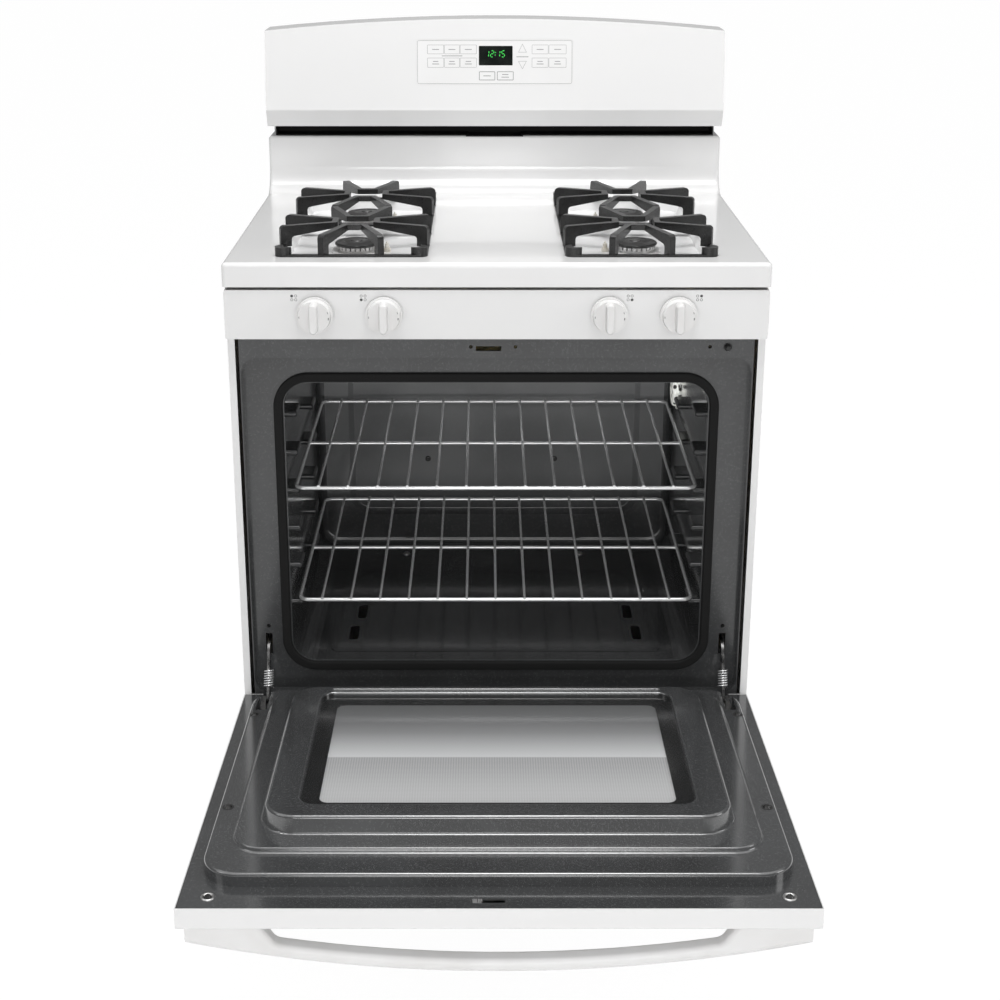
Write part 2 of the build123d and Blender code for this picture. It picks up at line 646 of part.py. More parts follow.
# Spark igniters: ceramic pins beside the burners
with BuildPart() as spark_igniters:
    for x, y in burner_places:
        spark_x = x - 44 if x > 0 else x + 44
        with Locations((spark_x, y, well_floor)):
            Cylinder(5.5, 5, align=(Align.CENTER, Align.CENTER, Align.MIN))
            Cylinder(3.2, 12, align=(Align.CENTER, Align.CENTER, Align.MIN))
            Cylinder(1.2, 15, align=(Align.CENTER, Align.CENTER, Align.MIN))
save(spark_igniters, "spark_igniters")

# Oven burner under the floor panel and its safety valve
oven_burner_z = 258.0
oven_burner_y = (front + 76.0, front + 524.0)
with BuildPart() as oven_burner:
    rod((0, oven_burner_y[0], oven_burner_z), (0, oven_burner_y[1], oven_burner_z), 17)
    rod((0, oven_burner_y[0] + 3, oven_burner_z), (0, oven_burner_y[1] + 1, oven_burner_z),
        15, Mode.SUBTRACT)
    for y in (front + 78.0, front + 448.0):
        block((-12, 12), (y, y + 6), (oven_burner_z + 15.5, oven_z[0] - oven_sheet))
    for step in range(12):
        y = front + 110.0 + step * 28.0
        rod((-20, y, oven_burner_z + 6), (20, y, oven_burner_z + 6), 2, Mode.SUBTRACT)
save(oven_burner, "oven_burner")

with BuildPart() as oven_safety_valve:
    safety_y = oven_burner_y[1]
    block((-22, 22), (safety_y, safety_y + 36), (oven_burner_z - 20, oven_burner_z + 20))
    rod((22, safety_y + 18, oven_burner_z), (inlet_x - 12, safety_y + 18, oven_burner_z), 7)
    block((-14, 14), (safety_y + 4, safety_y + 32), (oven_burner_z + 20, oven_burner_z + 38))
save(oven_safety_valve, "oven_safety_valve")

# Oven light lens on the right wall
with BuildPart() as oven_light_lens:
    with Locations(Plane((oven_half, light_y, light_z), z_dir=(-1, 0, 0))):
        Cylinder(light_radius, 3, align=(Align.CENTER, Align.CENTER, Align.MIN))
        Cylinder(light_radius - 5, 11, align=(Align.CENTER, Align.CENTER, Align.MIN))
        Cylinder(19.5, 24, align=(Align.CENTER, Align.CENTER, Align.MAX))
    fillet(oven_light_lens.edges().group_by(Axis.X)[0], 5)
save(oven_light_lens, "oven_light_lens")

# Temperature probe on the rear wall
probe_x = -150.0
probe_z = 700.0
with BuildPart() as temperature_probe:
    rod((probe_x, oven_y[1] - 3, probe_z), (probe_x, oven_y[1], probe_z), 9)
    rod((probe_x, oven_y[1] - 110, probe_z), (probe_x, oven_y[1] - 3, probe_z), 3)
save(temperature_probe, "temperature_probe")

# Light switch behind the front frame and its plunger
plunger_y = front + 13.0
plunger_travel = 5.0
switch_y = (frame_y + frame_sheet, frame_y + frame_sheet + 26)
with BuildPart() as light_switch_body:
    block((switch_x - 13, switch_x + 13), switch_y, (switch_z - 10, switch_z + 10))
    rod((switch_x, switch_y[0] - 1, switch_z), (switch_x, switch_y[0] + 16, switch_z),
        switch_radius + running_fit, Mode.SUBTRACT)
save(light_switch_body, "light_switch_body")

with BuildPart() as light_switch_plunger:
    rod((switch_x, plunger_y, switch_z), (switch_x, switch_y[0] + 15 - plunger_travel, switch_z),
        switch_radius)
    fillet(light_switch_plunger.edges().group_by(Axis.Y)[0], 2)
save(light_switch_plunger, "light_switch_plunger")

# Hinge arms: fixed hooks from the frame's slots down to the hinge pins
arm_width = 13.0
with BuildPart() as hinge_arms:
    for x in (-hinge_x, hinge_x):
        with BuildSketch(Plane.YZ.offset(x - arm_thick / 2)):
            with BuildLine():
                FilletPolyline((hinge_y, hinge_z), (recess_y - 6, arm_foot_z - 8),
                               (recess_y + 22, arm_foot_z - 8), radius=10)
            trace(line_width=arm_width)
            with Locations((hinge_y, hinge_z)):
                Circle(arm_width / 2)
        extrude(amount=arm_thick)
        rod((x - 10, hinge_y, hinge_z), (x + 10, hinge_y, hinge_z), hinge_pin)
save(hinge_arms, "hinge_arms")

# Door outer panel: a white tray with a window opening and hinge notches
with BuildPart() as door_outer_panel:
    block((-door_half, door_half), (face_y, rim_y), door_z)
    fillet(door_outer_panel.faces().sort_by(Axis.Y)[0].edges(), 2.2)
    block((-door_half + sheet, door_half - sheet), (face_y + sheet, rim_y + 1),
          (door_z[0] + sheet, door_z[1] - sheet), Mode.SUBTRACT)
    standing((-window_half - 6, window_half + 6), (face_y - 1, face_y + 5),
             (window_z[0] - 6, window_z[1] + 6), 14, Mode.SUBTRACT)
    for limits in both_sides((hinge_x - 8, hinge_x + 8)):
        block(limits, (hinge_y - 9, rim_y + 1), (door_z[0] - 1, door_z[0] + 3), Mode.SUBTRACT)
save(door_outer_panel, "door_outer_panel", door_turn)

# Door liner: pressed in three steps up to the plug that fills the oven mouth
liner_half = door_half - sheet - 0.5
liner_z = (door_z[0] + sheet + 0.3, door_z[1] - sheet - 0.5)
liner_steps = (
    {"half": 357.0, "z": (250.0, 754.0), "radius": 46.0, "rise": 16.0},
    {"half": 326.0, "z": (268.0, 706.0), "radius": 38.0, "rise": 22.0},
    {"half": 291.5, "z": (298.5, 668.5), "radius": 38.5, "rise": 44.0},
)
plug_base = liner_steps[1]["rise"]
plug_rise = liner_steps[2]["rise"]
plug_flare = 14.0
surround = {"half": window_half + 24, "z": (window_z[0] - 26, window_z[1] + 12), "depth": 6.0,
            "wall": 5.0, "radius": 20.0, "round": 3.0}
bead = {"half": window_half + 12, "z": (304.5, 311.5), "radius": 3.4, "rise": 2.0, "round": 1.8}
screw_places = [(348.0, 333.0, 16.0), (345.0, 597.0, 16.0), (342.0, 777.0, 0.0)]
screw_shank = 2.0
with BuildPart() as door_inner_liner:
    block((-liner_half, liner_half), (rim_y - liner_sheet, rim_y), liner_z)
    for step, base, flare in zip(liner_steps, (0.0, 0.0, plug_base), (0.0, 0.0, plug_flare)):
        standing((-step["half"], step["half"]), (rim_y + base - liner_sheet, rim_y + step["rise"]),
                 step["z"], step["radius"], flare=flare)
    for step, soft in zip(liner_steps, (4.0, 2.4, 4.0)):
        level = rim_y + step["rise"]
        rim_edges = door_inner_liner.edges().filter_by_position(Axis.Y, level - 0.1, level + 0.1)
        fillet(rim_edges.filter_by(lambda edge: edge.length > 1), soft)
    for step, base, flare in zip(liner_steps, (0.0, 0.0, plug_base), (0.0, 0.0, plug_flare)):
        standing((-step["half"] + liner_sheet, step["half"] - liner_sheet),
                 (rim_y + base - 2 * liner_sheet, rim_y + step["rise"] - liner_sheet),
                 (step["z"][0] + liner_sheet, step["z"][1] - liner_sheet),
                 step["radius"] - liner_sheet, Mode.SUBTRACT, flare)
    plug_y = rim_y + plug_rise
    shell_half = surround["half"] + surround["wall"]
    standing((-shell_half, shell_half),
             (plug_y - surround["depth"] - liner_sheet, plug_y - liner_sheet / 2),
             (surround["z"][0] - surround["wall"], surround["z"][1] + surround["wall"]),
             surround["radius"] + surround["wall"])
    standing((-surround["half"], surround["half"]), (plug_y - surround["depth"], plug_y + 5), surround["z"],
             surround["radius"], Mode.SUBTRACT)
    lip_edges = door_inner_liner.edges().filter_by_position(Axis.Y, plug_y - 0.1, plug_y + 0.1)
    lip_edges = lip_edges.filter_by_position(Axis.X, -surround["half"] - 1, surround["half"] + 1)
    lip_edges = lip_edges.filter_by_position(Axis.Z, surround["z"][0] - 1, surround["z"][1] + 1)
    fillet(lip_edges, surround["round"])
    standing((-window_half, window_half), (rim_y, rim_y + plug_rise + 5), window_z, 12, Mode.SUBTRACT)
    standing((-bead["half"], bead["half"]), (plug_y - 1, plug_y + bead["rise"]), bead["z"], bead["radius"])
    bead_top = plug_y + bead["rise"]
    bead_edges = door_inner_liner.edges().filter_by_position(Axis.Y, bead_top - 0.1, bead_top + 0.1)
    fillet(bead_edges, bead["round"])
    for limits in both_sides((hinge_x - 8, hinge_x + 8)):
        block(limits, (rim_y - 5, rim_y + 20), (door_z[0], hinge_z + 78), Mode.SUBTRACT)
    for x, z, rise in screw_places:
        for side_x in (-x, x):
            rod((side_x, rim_y - 5, z), (side_x, rim_y + rise + 1, z), screw_shank + 0.1, Mode.SUBTRACT)
    block(latch_x, (rim_y - 5, rim_y + 1), (switch_z - 6, switch_z + 1), Mode.SUBTRACT)
save(door_inner_liner, "door_inner_liner", door_turn)

# Door glasses, bonded behind the window openings
glass = 4.0
seat_y = rim_y + plug_rise - surround["depth"] - liner_sheet
with BuildPart() as door_inner_glass:
    standing((-window_half - 18, window_half + 18), (seat_y - glass, seat_y),
             (window_z[0] - 16, window_z[1] + 10), 8)
save(door_inner_glass, "door_inner_glass", door_turn)

with BuildPart() as door_outer_glass:
    standing((-window_half - 40, window_half + 40), (face_y + sheet, face_y + sheet + glass),
             (window_z[0] - 36, window_z[1] + 36), 10)
save(door_outer_glass, "door_outer_glass", door_turn)

# Hinge brackets inside the door, bored for the pins
with BuildPart() as door_hinges:
    for x in (-hinge_x, hinge_x):
        for cheek in ((x - 10, x - 2.6), (x + 2.6, x + 10)):
            block(cheek, (face_y + sheet, rim_y - liner_sheet), (hinge_z - 6.5, hinge_z + 9))
        block((x - 10, x + 10), (face_y + sheet, face_y + sheet + 3), (hinge_z - 6.5, hinge_z + 60))
        rod((x - 11, hinge_y, hinge_z), (x + 11, hinge_y, hinge_z), hinge_pin + running_fit, Mode.SUBTRACT)
save(door_hinges, "door_hinges", door_turn)

# Door handle: a bowed rounded bar between two end blocks
handle_half = 367.0
handle_z = (776.0, 800.0)
handle_end = 22.0
handle_bow = 60.5
handle_round = 8.5
grip_half = 278.0
grip_inset = 16.0
grip_gap = 43.5
grip_end = 23.0
grip_corner = 14.0
grip_round = 7.0
with BuildPart() as door_handle:
    with BuildSketch(Plane.XY.offset(handle_z[0])) as handle_plan:
        with BuildLine():
            ThreePointArc((-handle_half, face_y - handle_end), (0, face_y - handle_bow),
                          (handle_half, face_y - handle_end))
            Polyline((handle_half, face_y - handle_end), (handle_half, face_y), (grip_half, face_y),
                     (grip_half - grip_inset, face_y - grip_end))
            ThreePointArc((grip_half - grip_inset, face_y - grip_end), (0, face_y - grip_gap),
                          (-grip_half + grip_inset, face_y - grip_end))
            Polyline((-grip_half + grip_inset, face_y - grip_end), (-grip_half, face_y),
                     (-handle_half, face_y), (-handle_half, face_y - handle_end))
        make_face()
        grip_corners = handle_plan.vertices().filter_by_position(
            Axis.Y, face_y - grip_end - 0.1, face_y - grip_end + 0.1)
        fillet(grip_corners, grip_corner)
    extrude(amount=handle_z[1] - handle_z[0])
    outer_face = door_handle.faces().sort_by(Axis.Y)[0]
    fillet(outer_face.edges().filter_by(GeomType.CIRCLE), handle_round)
    grip_faces = door_handle.faces().filter_by(
        lambda face: face.normal_at().Y > 0.3 and abs(face.center().X) < grip_half)
    grip_edges = grip_faces.edges().group_by(Axis.Z)
    fillet(grip_edges[0] + grip_edges[-1], grip_round)
save(door_handle, "door_handle", door_turn)

# Screws that hold the liner to the door
with BuildPart() as door_screws:
    for x, z, rise in screw_places:
        for side_x in (-x, x):
            rod((side_x, rim_y - 8, z), (side_x, rim_y + rise, z), screw_shank)
            with Locations(Plane((side_x, rim_y + rise, z), z_dir=(0, 1, 0))):
                Cone(5, 3, 2.6, align=(Align.CENTER, Align.CENTER, Align.MIN))
save(door_screws, "door_screws", door_turn)

# Storage drawer: a white front and a steel box
with BuildPart() as drawer_front:
    block((-door_half, door_half), (drawer_face_y, drawer_face_y + drawer_thick), drawer_z)
    fillet(drawer_front.faces().sort_by(Axis.Y)[0].edges(), 2.2)
    block((-door_half + sheet, door_half - sheet),
          (drawer_face_y + sheet, drawer_face_y + drawer_thick + 1),
          (drawer_z[0] + sheet, drawer_z[1] - sheet), Mode.SUBTRACT)
    block((-150, 150), (drawer_face_y + 4, drawer_face_y + drawer_thick + 1),
          (drawer_z[1] - 3, drawer_z[1] + 1), Mode.SUBTRACT)
save(drawer_front, "drawer_front")

with BuildPart() as drawer_box:
    block((-drawer_box_half, drawer_box_half), (drawer_face_y + sheet, drawer_box_back), drawer_box_z)
    block((-drawer_box_half + sheet, drawer_box_half - sheet),
          (drawer_face_y + 2 * sheet, drawer_box_back - sheet),
          (drawer_box_z[0] + sheet, drawer_box_z[1] + 1), Mode.SUBTRACT)
save(drawer_box, "drawer_box")

# Oven racks: rounded outer rod, cross rods and fore-and-aft wires
for name, z in rack_zs.items():
    with BuildPart() as rack:
        for half in (-rack_half, rack_half):
            with BuildLine():
                FilletPolyline((0, rack_y[0], z), (half, rack_y[0], z), (half, rack_y[1], z),
                               (0, rack_y[1], z), radius=14)
            with BuildSketch(Plane((0, rack_y[0], z), z_dir=(half, 0, 0))):
                Circle(rack_rod)
            sweep()
        middle_y = (rack_y[0] + rack_y[1]) / 2 - 8
        rod((-rack_half, middle_y, z), (rack_half, middle_y, z), rack_rod - 0.3)
        for step in range(rack_wires):
            x = (step - (rack_wires - 1) / 2) * rack_pitch
            rod((x, rack_y[0] - 2.5, z + rack_rod), (x, rack_y[1] + 2.5, z + rack_rod), rack_wire)
    save(rack, name)

# Burner grates: low cast frames with tapered pot supports in a V on four sides of each burner
grate_width = 214.0
grate_length = 428.0
grate_rail = 10.0
rail_top_z = cooktop_z + 3
support_z = cooktop_z + 31
support_width = 9.0
post_width = 16.0
arm_deep = 16.0
arm_shallow = 8.0
arm_reach = grate_width / 2 - 1
arm_spread = 42.0
tip_reach = 30.0
tip_spread = 13.0
corner_pad = (24.0, 13.0)
for side_x, name in ((-well_x, "grate_left"), (well_x, "grate_right")):
    with BuildPart() as grate:
        lying(side_x, well_middle_y, grate_width, grate_length, 14, (cooktop_z, rail_top_z))
        for x in (-1, 1):
            for y in (-1, 1):
                lying(side_x + x * (grate_width - corner_pad[0]) / 2,
                      well_middle_y + y * (grate_length - corner_pad[0]) / 2,
                      corner_pad[0], corner_pad[0], 11, (cooktop_z, cooktop_z + corner_pad[1]))
        for y in burner_ys:
            lying(side_x, y, grate_width - 2 * grate_rail, burner_pitch - 1.5 * grate_rail, 8,
                  (cooktop_z - 1, cooktop_z + 20), Mode.SUBTRACT)
        for y in burner_ys:
            for turn in (0, 90, 180, 270):
                for hand in (-1, 1):
                    outer = Vector(arm_reach, hand * arm_spread).rotate(Axis.Z, turn)
                    inner = Vector(tip_reach, hand * tip_spread).rotate(Axis.Z, turn)
                    run = inner - outer
                    middle = Vector(side_x, y, 0)
                    arm_plane = Plane(outer + middle, x_dir=run, z_dir=run.cross(Vector(0, 0, 1)))
                    with BuildSketch(arm_plane) as arm_side:
                        with BuildLine():
                            FilletPolyline(
                                (0, cooktop_z + 1),
                                (0, support_z),
                                (run.length + 3, support_z),
                                (run.length + 3, support_z - arm_shallow),
                                (post_width, support_z - arm_deep),
                                (post_width, cooktop_z + 1),
                                radius=[0, 6, 2, 2, 5, 0],
                                close=True,
                            )
                        make_face()
                    extrude(arm_side.sketch, amount=support_width / 2, both=True)
                tip_plane = Plane(Vector(tip_reach, 0).rotate(Axis.Z, turn) + middle,
                                  x_dir=Vector(0, 1).rotate(Axis.Z, turn), z_dir=(0, 0, 1))
                with BuildSketch(tip_plane.offset(support_z - arm_shallow)) as tip_top:
                    SlotOverall(2 * tip_spread + support_width, support_width)
                extrude(tip_top.sketch, amount=arm_shallow)
    save(grate, name)
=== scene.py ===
import json
import math
import bmesh
import bpy
from mathutils import Matrix, Vector


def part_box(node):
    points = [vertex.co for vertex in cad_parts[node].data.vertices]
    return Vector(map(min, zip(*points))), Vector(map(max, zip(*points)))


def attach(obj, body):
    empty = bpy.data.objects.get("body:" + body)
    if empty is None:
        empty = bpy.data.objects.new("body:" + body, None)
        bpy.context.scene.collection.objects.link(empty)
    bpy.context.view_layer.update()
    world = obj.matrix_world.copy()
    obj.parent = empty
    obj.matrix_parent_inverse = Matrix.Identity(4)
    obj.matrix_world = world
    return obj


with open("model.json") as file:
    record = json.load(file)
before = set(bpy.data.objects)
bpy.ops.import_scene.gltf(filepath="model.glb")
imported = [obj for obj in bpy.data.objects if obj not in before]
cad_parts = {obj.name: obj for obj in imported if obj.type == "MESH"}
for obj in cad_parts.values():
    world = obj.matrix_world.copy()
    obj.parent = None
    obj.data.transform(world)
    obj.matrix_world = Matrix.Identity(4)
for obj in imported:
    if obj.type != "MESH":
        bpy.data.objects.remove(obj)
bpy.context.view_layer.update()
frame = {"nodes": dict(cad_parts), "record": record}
print("frame loaded:", len(frame["nodes"]), "nodes")


class Wire:  # a shader socket that takes part in Python expressions
    def __init__(self, tree, socket=None):
        self.tree = tree
        self.socket = socket

    def node(self, kind, settings=None, sockets=None, out=0):
        made = self.tree.nodes.new("ShaderNode" + kind)
        for name, value in (settings or {}).items():
            if name == "stops":
                stops = made.color_ramp.elements
                stops[0].position, stops[0].color = value[0]
                stops[1].position, stops[1].color = value[-1]
                for position, colour in value[1:-1]:
                    stops.new(position).color = colour
            else:
                setattr(made, name, value)
        for name, value in (sockets or {}).items():
            if isinstance(value, Wire):
                self.tree.links.new(value.socket, made.inputs[name])
            else:
                made.inputs[name].default_value = value
        return Wire(self.tree, made.outputs[out])

    def maths(self, operation, first, second=0.0):
        return self.node("Math", {"operation": operation}, {0: first, 1: second})

    def __add__(self, other):
        return self.maths("ADD", self, other)

    def __radd__(self, other):
        return self.maths("ADD", other, self)

    def __sub__(self, other):
        return self.maths("SUBTRACT", self, other)

    def __rsub__(self, other):
        return self.maths("SUBTRACT", other, self)

    def __mul__(self, other):
        return self.maths("MULTIPLY", self, other)

    def __rmul__(self, other):
        return self.maths("MULTIPLY", other, self)

    def __truediv__(self, other):
        return self.maths("DIVIDE", self, other)

    def __gt__(self, other):
        return self.maths("GREATER_THAN", self, other)

    def __lt__(self, other):
        return self.maths("LESS_THAN", self, other)

    def __mod__(self, other):
        return self.maths("FLOORED_MODULO", self, other)

    def __abs__(self):
        return self.maths("ABSOLUTE", self)


def grey(level, warmth=0.0):
    return (level * (1 + warmth), level, level * (1 - warmth), 1)


def grain(wire, scale, detail=2.0, stretch=(1, 1, 1)):  # noise in the object's own metres
    spot = wire.node("TexCoord", out="Object")
    if stretch != (1, 1, 1):
        spot = wire.node("Mapping", None, {"Vector": spot, "Scale": stretch})
    return wire.node("TexNoise", None, {"Vector": spot, "Scale": scale, "Detail": detail})


def cells(wire, scale, feature="F1", out="Distance"):
    spot = wire.node("TexCoord", out="Object")
    return wire.node("TexVoronoi", {"feature": feature}, {"Vector": spot, "Scale": scale}, out)


def along(wire, axis):  # one coordinate of the object, in metres
    return wire.node("SeparateXYZ", None, {0: wire.node("TexCoord", out="Object")}, axis)


def spread(wire, low, high, start=0.0, end=1.0):  # smooth step from start to end
    return wire.node("MapRange", {"interpolation_type": "SMOOTHSTEP"},
                     {0: wire, 1: low, 2: high, 3: start, 4: end})


def mottle(wire, start=0.0, end=1.0):  # a noise's middle range, drawn out from start to end
    return spread(wire, 0.3, 0.7, start, end)


def tint(factor, first, second):
    return factor.node("Mix", {"data_type": "RGBA"}, {0: factor, 6: first, 7: second}, 2)


def dimple(height, strength, distance):
    return height.node("Bump", None, {"Strength": strength, "Distance": distance, "Height": height})


def paint(name, surface, shade):
    material = bpy.data.materials.new(name)
    material.use_nodes = True
    tree = material.node_tree
    shader = tree.nodes["Principled BSDF"]
    for socket, value in surface.items():
        shader.inputs[socket].default_value = value
    for socket, wire in shade(Wire(tree)).items():
        tree.links.new(wire.socket, shader.inputs[socket])
    return material


enamelLook = {"pale": grey(0.76, 0.001), "dull": grey(0.745, 0.003), "peel": 260, "rough": (0.2, 0.25)}


def whiteEnamel(wire):
    cloud = grain(wire, 5, 4)
    peel = grain(wire, enamelLook["peel"], 1)
    return {"Base Color": tint(spread(cloud, 0.2, 0.8), enamelLook["pale"], enamelLook["dull"]),
            "Roughness": spread(cloud, 0.2, 0.8, *enamelLook["rough"]),
            "Normal": dimple(peel, 0.03, 0.0003)}


def whitePlastic(wire):
    fine = grain(wire, 1600, 2)
    cloud = grain(wire, 18, 2)
    return {"Base Color": tint(spread(cloud, 0.3, 0.75), grey(0.745, 0.004), grey(0.70, 0.01)),
            "Roughness": mottle(cloud, 0.3, 0.4),
            "Normal": dimple(fine, 0.06, 0.0002)}


porcelainLook = {"ground": grey(0.044, -0.02), "cloudy": grey(0.054, -0.03), "fleck": grey(0.16, -0.01),
                 "flecks": 1100, "fleckSize": (0.32, 0.2), "fleckShare": (0.5, 0.62), "rough": (0.13, 0.22),
                 # The next two rows darken the oven's inside and lighten its upper back wall: painted shade
                 # and painted light.
                 "paintedShade": grey(0.010, -0.01), "paintedShadeShare": (0.4, 0.65),
                 "wall": grey(0.18, -0.01), "wallRise": (0.345, 0.43), "wallShare": (0.4, 0.7)}


def speckledPorcelain(wire):
    cloud = grain(wire, 9, 3)
    fleckSize = cells(wire, porcelainLook["flecks"])
    fleckShare = grain(wire, 300, 1)
    flecks = spread(fleckSize, *porcelainLook["fleckSize"]) * spread(fleckShare, *porcelainLook["fleckShare"])
    ground = tint(mottle(cloud), porcelainLook["ground"], porcelainLook["cloudy"])
    return {"Base Color": tint(flecks, ground, porcelainLook["fleck"]),
            "Roughness": mottle(cloud, *porcelainLook["rough"]) + flecks * 0.1,
            "Normal": dimple(grain(wire, 260, 2), 0.09, 0.0006)}


def cavityPorcelain(wire):  # painted darker than the frame round it, in patches: painted shade inside the oven
    shade = speckledPorcelain(wire)
    shadedPatches = spread(grain(wire, 7, 2), 0.2, 0.8, *porcelainLook["paintedShadeShare"])
    shade["Base Color"] = tint(shadedPatches, shade["Base Color"], porcelainLook["paintedShade"])
    return shade


def wallPorcelain(wire):  # painted lighter up the back wall and darker towards the floor: painted light and shade
    shade = cavityPorcelain(wire)
    litUpperWall = spread(grain(wire, 6, 2), 0.2, 0.8, *porcelainLook["wallShare"])
    litUpperWall = litUpperWall * spread(along(wire, 2), *porcelainLook["wallRise"])
    shade["Base Color"] = tint(litUpperWall, shade["Base Color"], porcelainLook["wall"])
    return shade


def zincSheet(wire):
    spangle = cells(wire, 130, out="Color")
    level = wire.node("SeparateColor", None, {0: spangle})
    dust = grain(wire, 12, 4)
    worn = tint(level, grey(0.50, -0.01), grey(0.565, -0.012))
    return {"Base Color": tint(spread(dust, 0.45, 0.75) * 0.5, worn, grey(0.44, 0.01)),
            "Roughness": level * 0.08 + spread(dust, 0.3, 0.8, 0.38, 0.5),
            "Normal": dimple(level, 0.02, 0.0003)}


def platedSteel(wire):
    brushed = grain(wire, 700, 2, (1, 0.08, 1))
    cloud = grain(wire, 40, 3)
    return {"Base Color": tint(mottle(cloud), grey(0.60, 0.004), grey(0.5, 0.02)),
            "Roughness": mottle(brushed, 0.26, 0.42),
            "Normal": dimple(brushed, 0.05, 0.0002)}


def glassWool(wire):
    fibre = grain(wire, 500, 5, (1, 0.2, 0.5))
    clump = grain(wire, 40, 4)
    tuft = spread(clump * 0.5 + fibre * 0.5, 0.35, 0.65)
    return {"Base Color": tint(tuft, (0.62, 0.5, 0.24, 1), (0.82, 0.74, 0.48, 1)),
            "Normal": dimple(clump + fibre * 0.6, 0.9, 0.004)}


def strands(wire, spot):
    return wire.node("TexWave", {"bands_direction": "DIAGONAL"},
                     {"Vector": spot, "Scale": 150, "Distortion": 1.2}, "Fac")


def gasketBraid(wire):
    spot = wire.node("TexCoord", out="Object")
    weaveA = strands(wire, spot)
    weaveB = strands(wire, wire.node("Mapping", None, {"Vector": spot, "Scale": (-1, 1, 1)}))
    strand = weaveA.maths("MAXIMUM", weaveA, weaveB)
    return {"Base Color": tint(strand, grey(0.005), grey(0.012)),
            "Normal": dimple(strand, 0.5, 0.0008)}


def overlayFilm(wire):
    pebble = grain(wire, 2200, 1)
    cloud = grain(wire, 14, 2)
    return {"Base Color": tint(mottle(cloud), grey(0.755, 0.002), grey(0.735, 0.004)),
            "Roughness": mottle(pebble, 0.36, 0.5),
            "Normal": dimple(pebble, 0.08, 0.0001)}


def circuitBoard(wire):
    tracks = cells(wire, 240, "DISTANCE_TO_EDGE")
    return {"Base Color": tint(spread(tracks, 0.03, 0.06), (0.02, 0.16, 0.07, 1), (0.01, 0.08, 0.035, 1)),
            "Roughness": spread(tracks, 0.02, 0.08, 0.3, 0.45)}


def castAluminium(wire):
    sand = grain(wire, 420, 4)
    stain = grain(wire, 26, 3)
    return {"Base Color": tint(spread(stain, 0.35, 0.7), grey(0.70, -0.006), grey(0.55, 0.02)),
            "Roughness": mottle(sand, 0.34, 0.52),
            "Normal": dimple(sand, 0.25, 0.0005)}


def valveBrass(wire):
    turned = grain(wire, 600, 2, (1, 0.1, 1))
    stain = grain(wire, 30, 3)
    return {"Base Color": tint(spread(stain, 0.35, 0.7), (0.72, 0.53, 0.22, 1), (0.5, 0.34, 0.14, 1)),
            "Roughness": mottle(turned, 0.22, 0.4),
            "Normal": dimple(turned, 0.06, 0.0002)}


def blackPlastic(wire):
    fine = grain(wire, 900, 3)
    return {"Base Color": tint(mottle(fine), grey(0.014), grey(0.03)),
            "Roughness": mottle(fine, 0.36, 0.52),
            "Normal": dimple(fine, 0.15, 0.0003)}


def capEnamel(wire):
    fine = grain(wire, 800, 3)
    heat = grain(wire, 45, 3)
    return {"Base Color": tint(spread(heat, 0.35, 0.7), grey(0.012), grey(0.026, 0.03)),
            "Roughness": mottle(fine, 0.3, 0.48),
            "Normal": dimple(fine, 0.12, 0.0003)}


def glazedCeramic(wire):
    cloud = grain(wire, 90, 3)
    return {"Base Color": tint(mottle(cloud), (0.8, 0.78, 0.72, 1), (0.68, 0.63, 0.54, 1)),
            "Roughness": mottle(cloud, 0.15, 0.3)}


# The facet edges are painted pale and made to glow: painted glints and glow on the lens.
def lampGlass(wire):
    facet = cells(wire, 105)
    paintedGlint = spread(facet, 0.25, 0.5)
    return {"Base Color": tint(paintedGlint, (0.05, 0.05, 0.048, 1), (0.9, 0.91, 0.88, 1)),
            "Emission Color": tint(paintedGlint, (0.0, 0.0, 0.0, 1), (0.26, 0.26, 0.24, 1)),
            "Roughness": spread(facet, 0.1, 0.5, 0.05, 0.15),
            "Normal": dimple(facet, 0.9, 0.004)}


glassLook = {"far": -0.125, "edge": -0.281, "near": -0.390, "soft": 0.002,
             "pitch": 0.0034, "dot": (1.9e-6, 1.1e-6),  # dot: squares of the radii where it fades
             "shadeAndLightFade": ((0.0, 0.115), (0.35, 0.165), (0.55, 0.255), (0.8, 0.44), (1.0, 0.58))}


# The clear glass is painted darker towards the hinge and lightest by the printed border, and the printed part
# lighter towards the handle: painted shade and painted light. The dots are the glass's own print.
def doorGlass(wire):
    y = along(wire, 1)
    x = along(wire, 0)
    cellX = abs(x % glassLook["pitch"] - glassLook["pitch"] / 2)
    cellY = abs(y % glassLook["pitch"] - glassLook["pitch"] / 2)
    dots = spread(cellX * cellX + cellY * cellY, *glassLook["dot"])
    dotted = spread(y, glassLook["edge"] + glassLook["soft"], glassLook["edge"] - glassLook["soft"])
    share = (glassLook["far"] - y) / (glassLook["far"] - glassLook["edge"])
    stops = [(place, grey(level, -0.012)) for place, level in glassLook["shadeAndLightFade"]]
    clear = wire.node("ValToRGB", {"stops": stops}, {"Fac": share})
    frosted = tint(spread(y, glassLook["edge"], glassLook["near"]), grey(0.33, -0.01), grey(0.46, -0.006))
    frosted = tint(dots * 0.3, frosted, grey(0.66, -0.004))
    return {"Base Color": tint(dotted, clear, frosted),
            "Roughness": dotted * 0.1 + 0.08}


def rackChrome(wire):
    drawn = grain(wire, 500, 2, (0.1, 1, 1))
    return {"Base Color": tint(mottle(drawn), grey(0.94, -0.004), grey(0.84, -0.004)),
            "Roughness": mottle(drawn, 0.1, 0.22)}


def castIron(wire):
    sand = grain(wire, 620, 4)
    blot = grain(wire, 36, 3)
    return {"Base Color": tint(spread(blot, 0.35, 0.7), grey(0.007), grey(0.016)),
            "Roughness": mottle(sand, 0.26, 0.42),
            "Normal": dimple(sand, 0.3, 0.0006)}


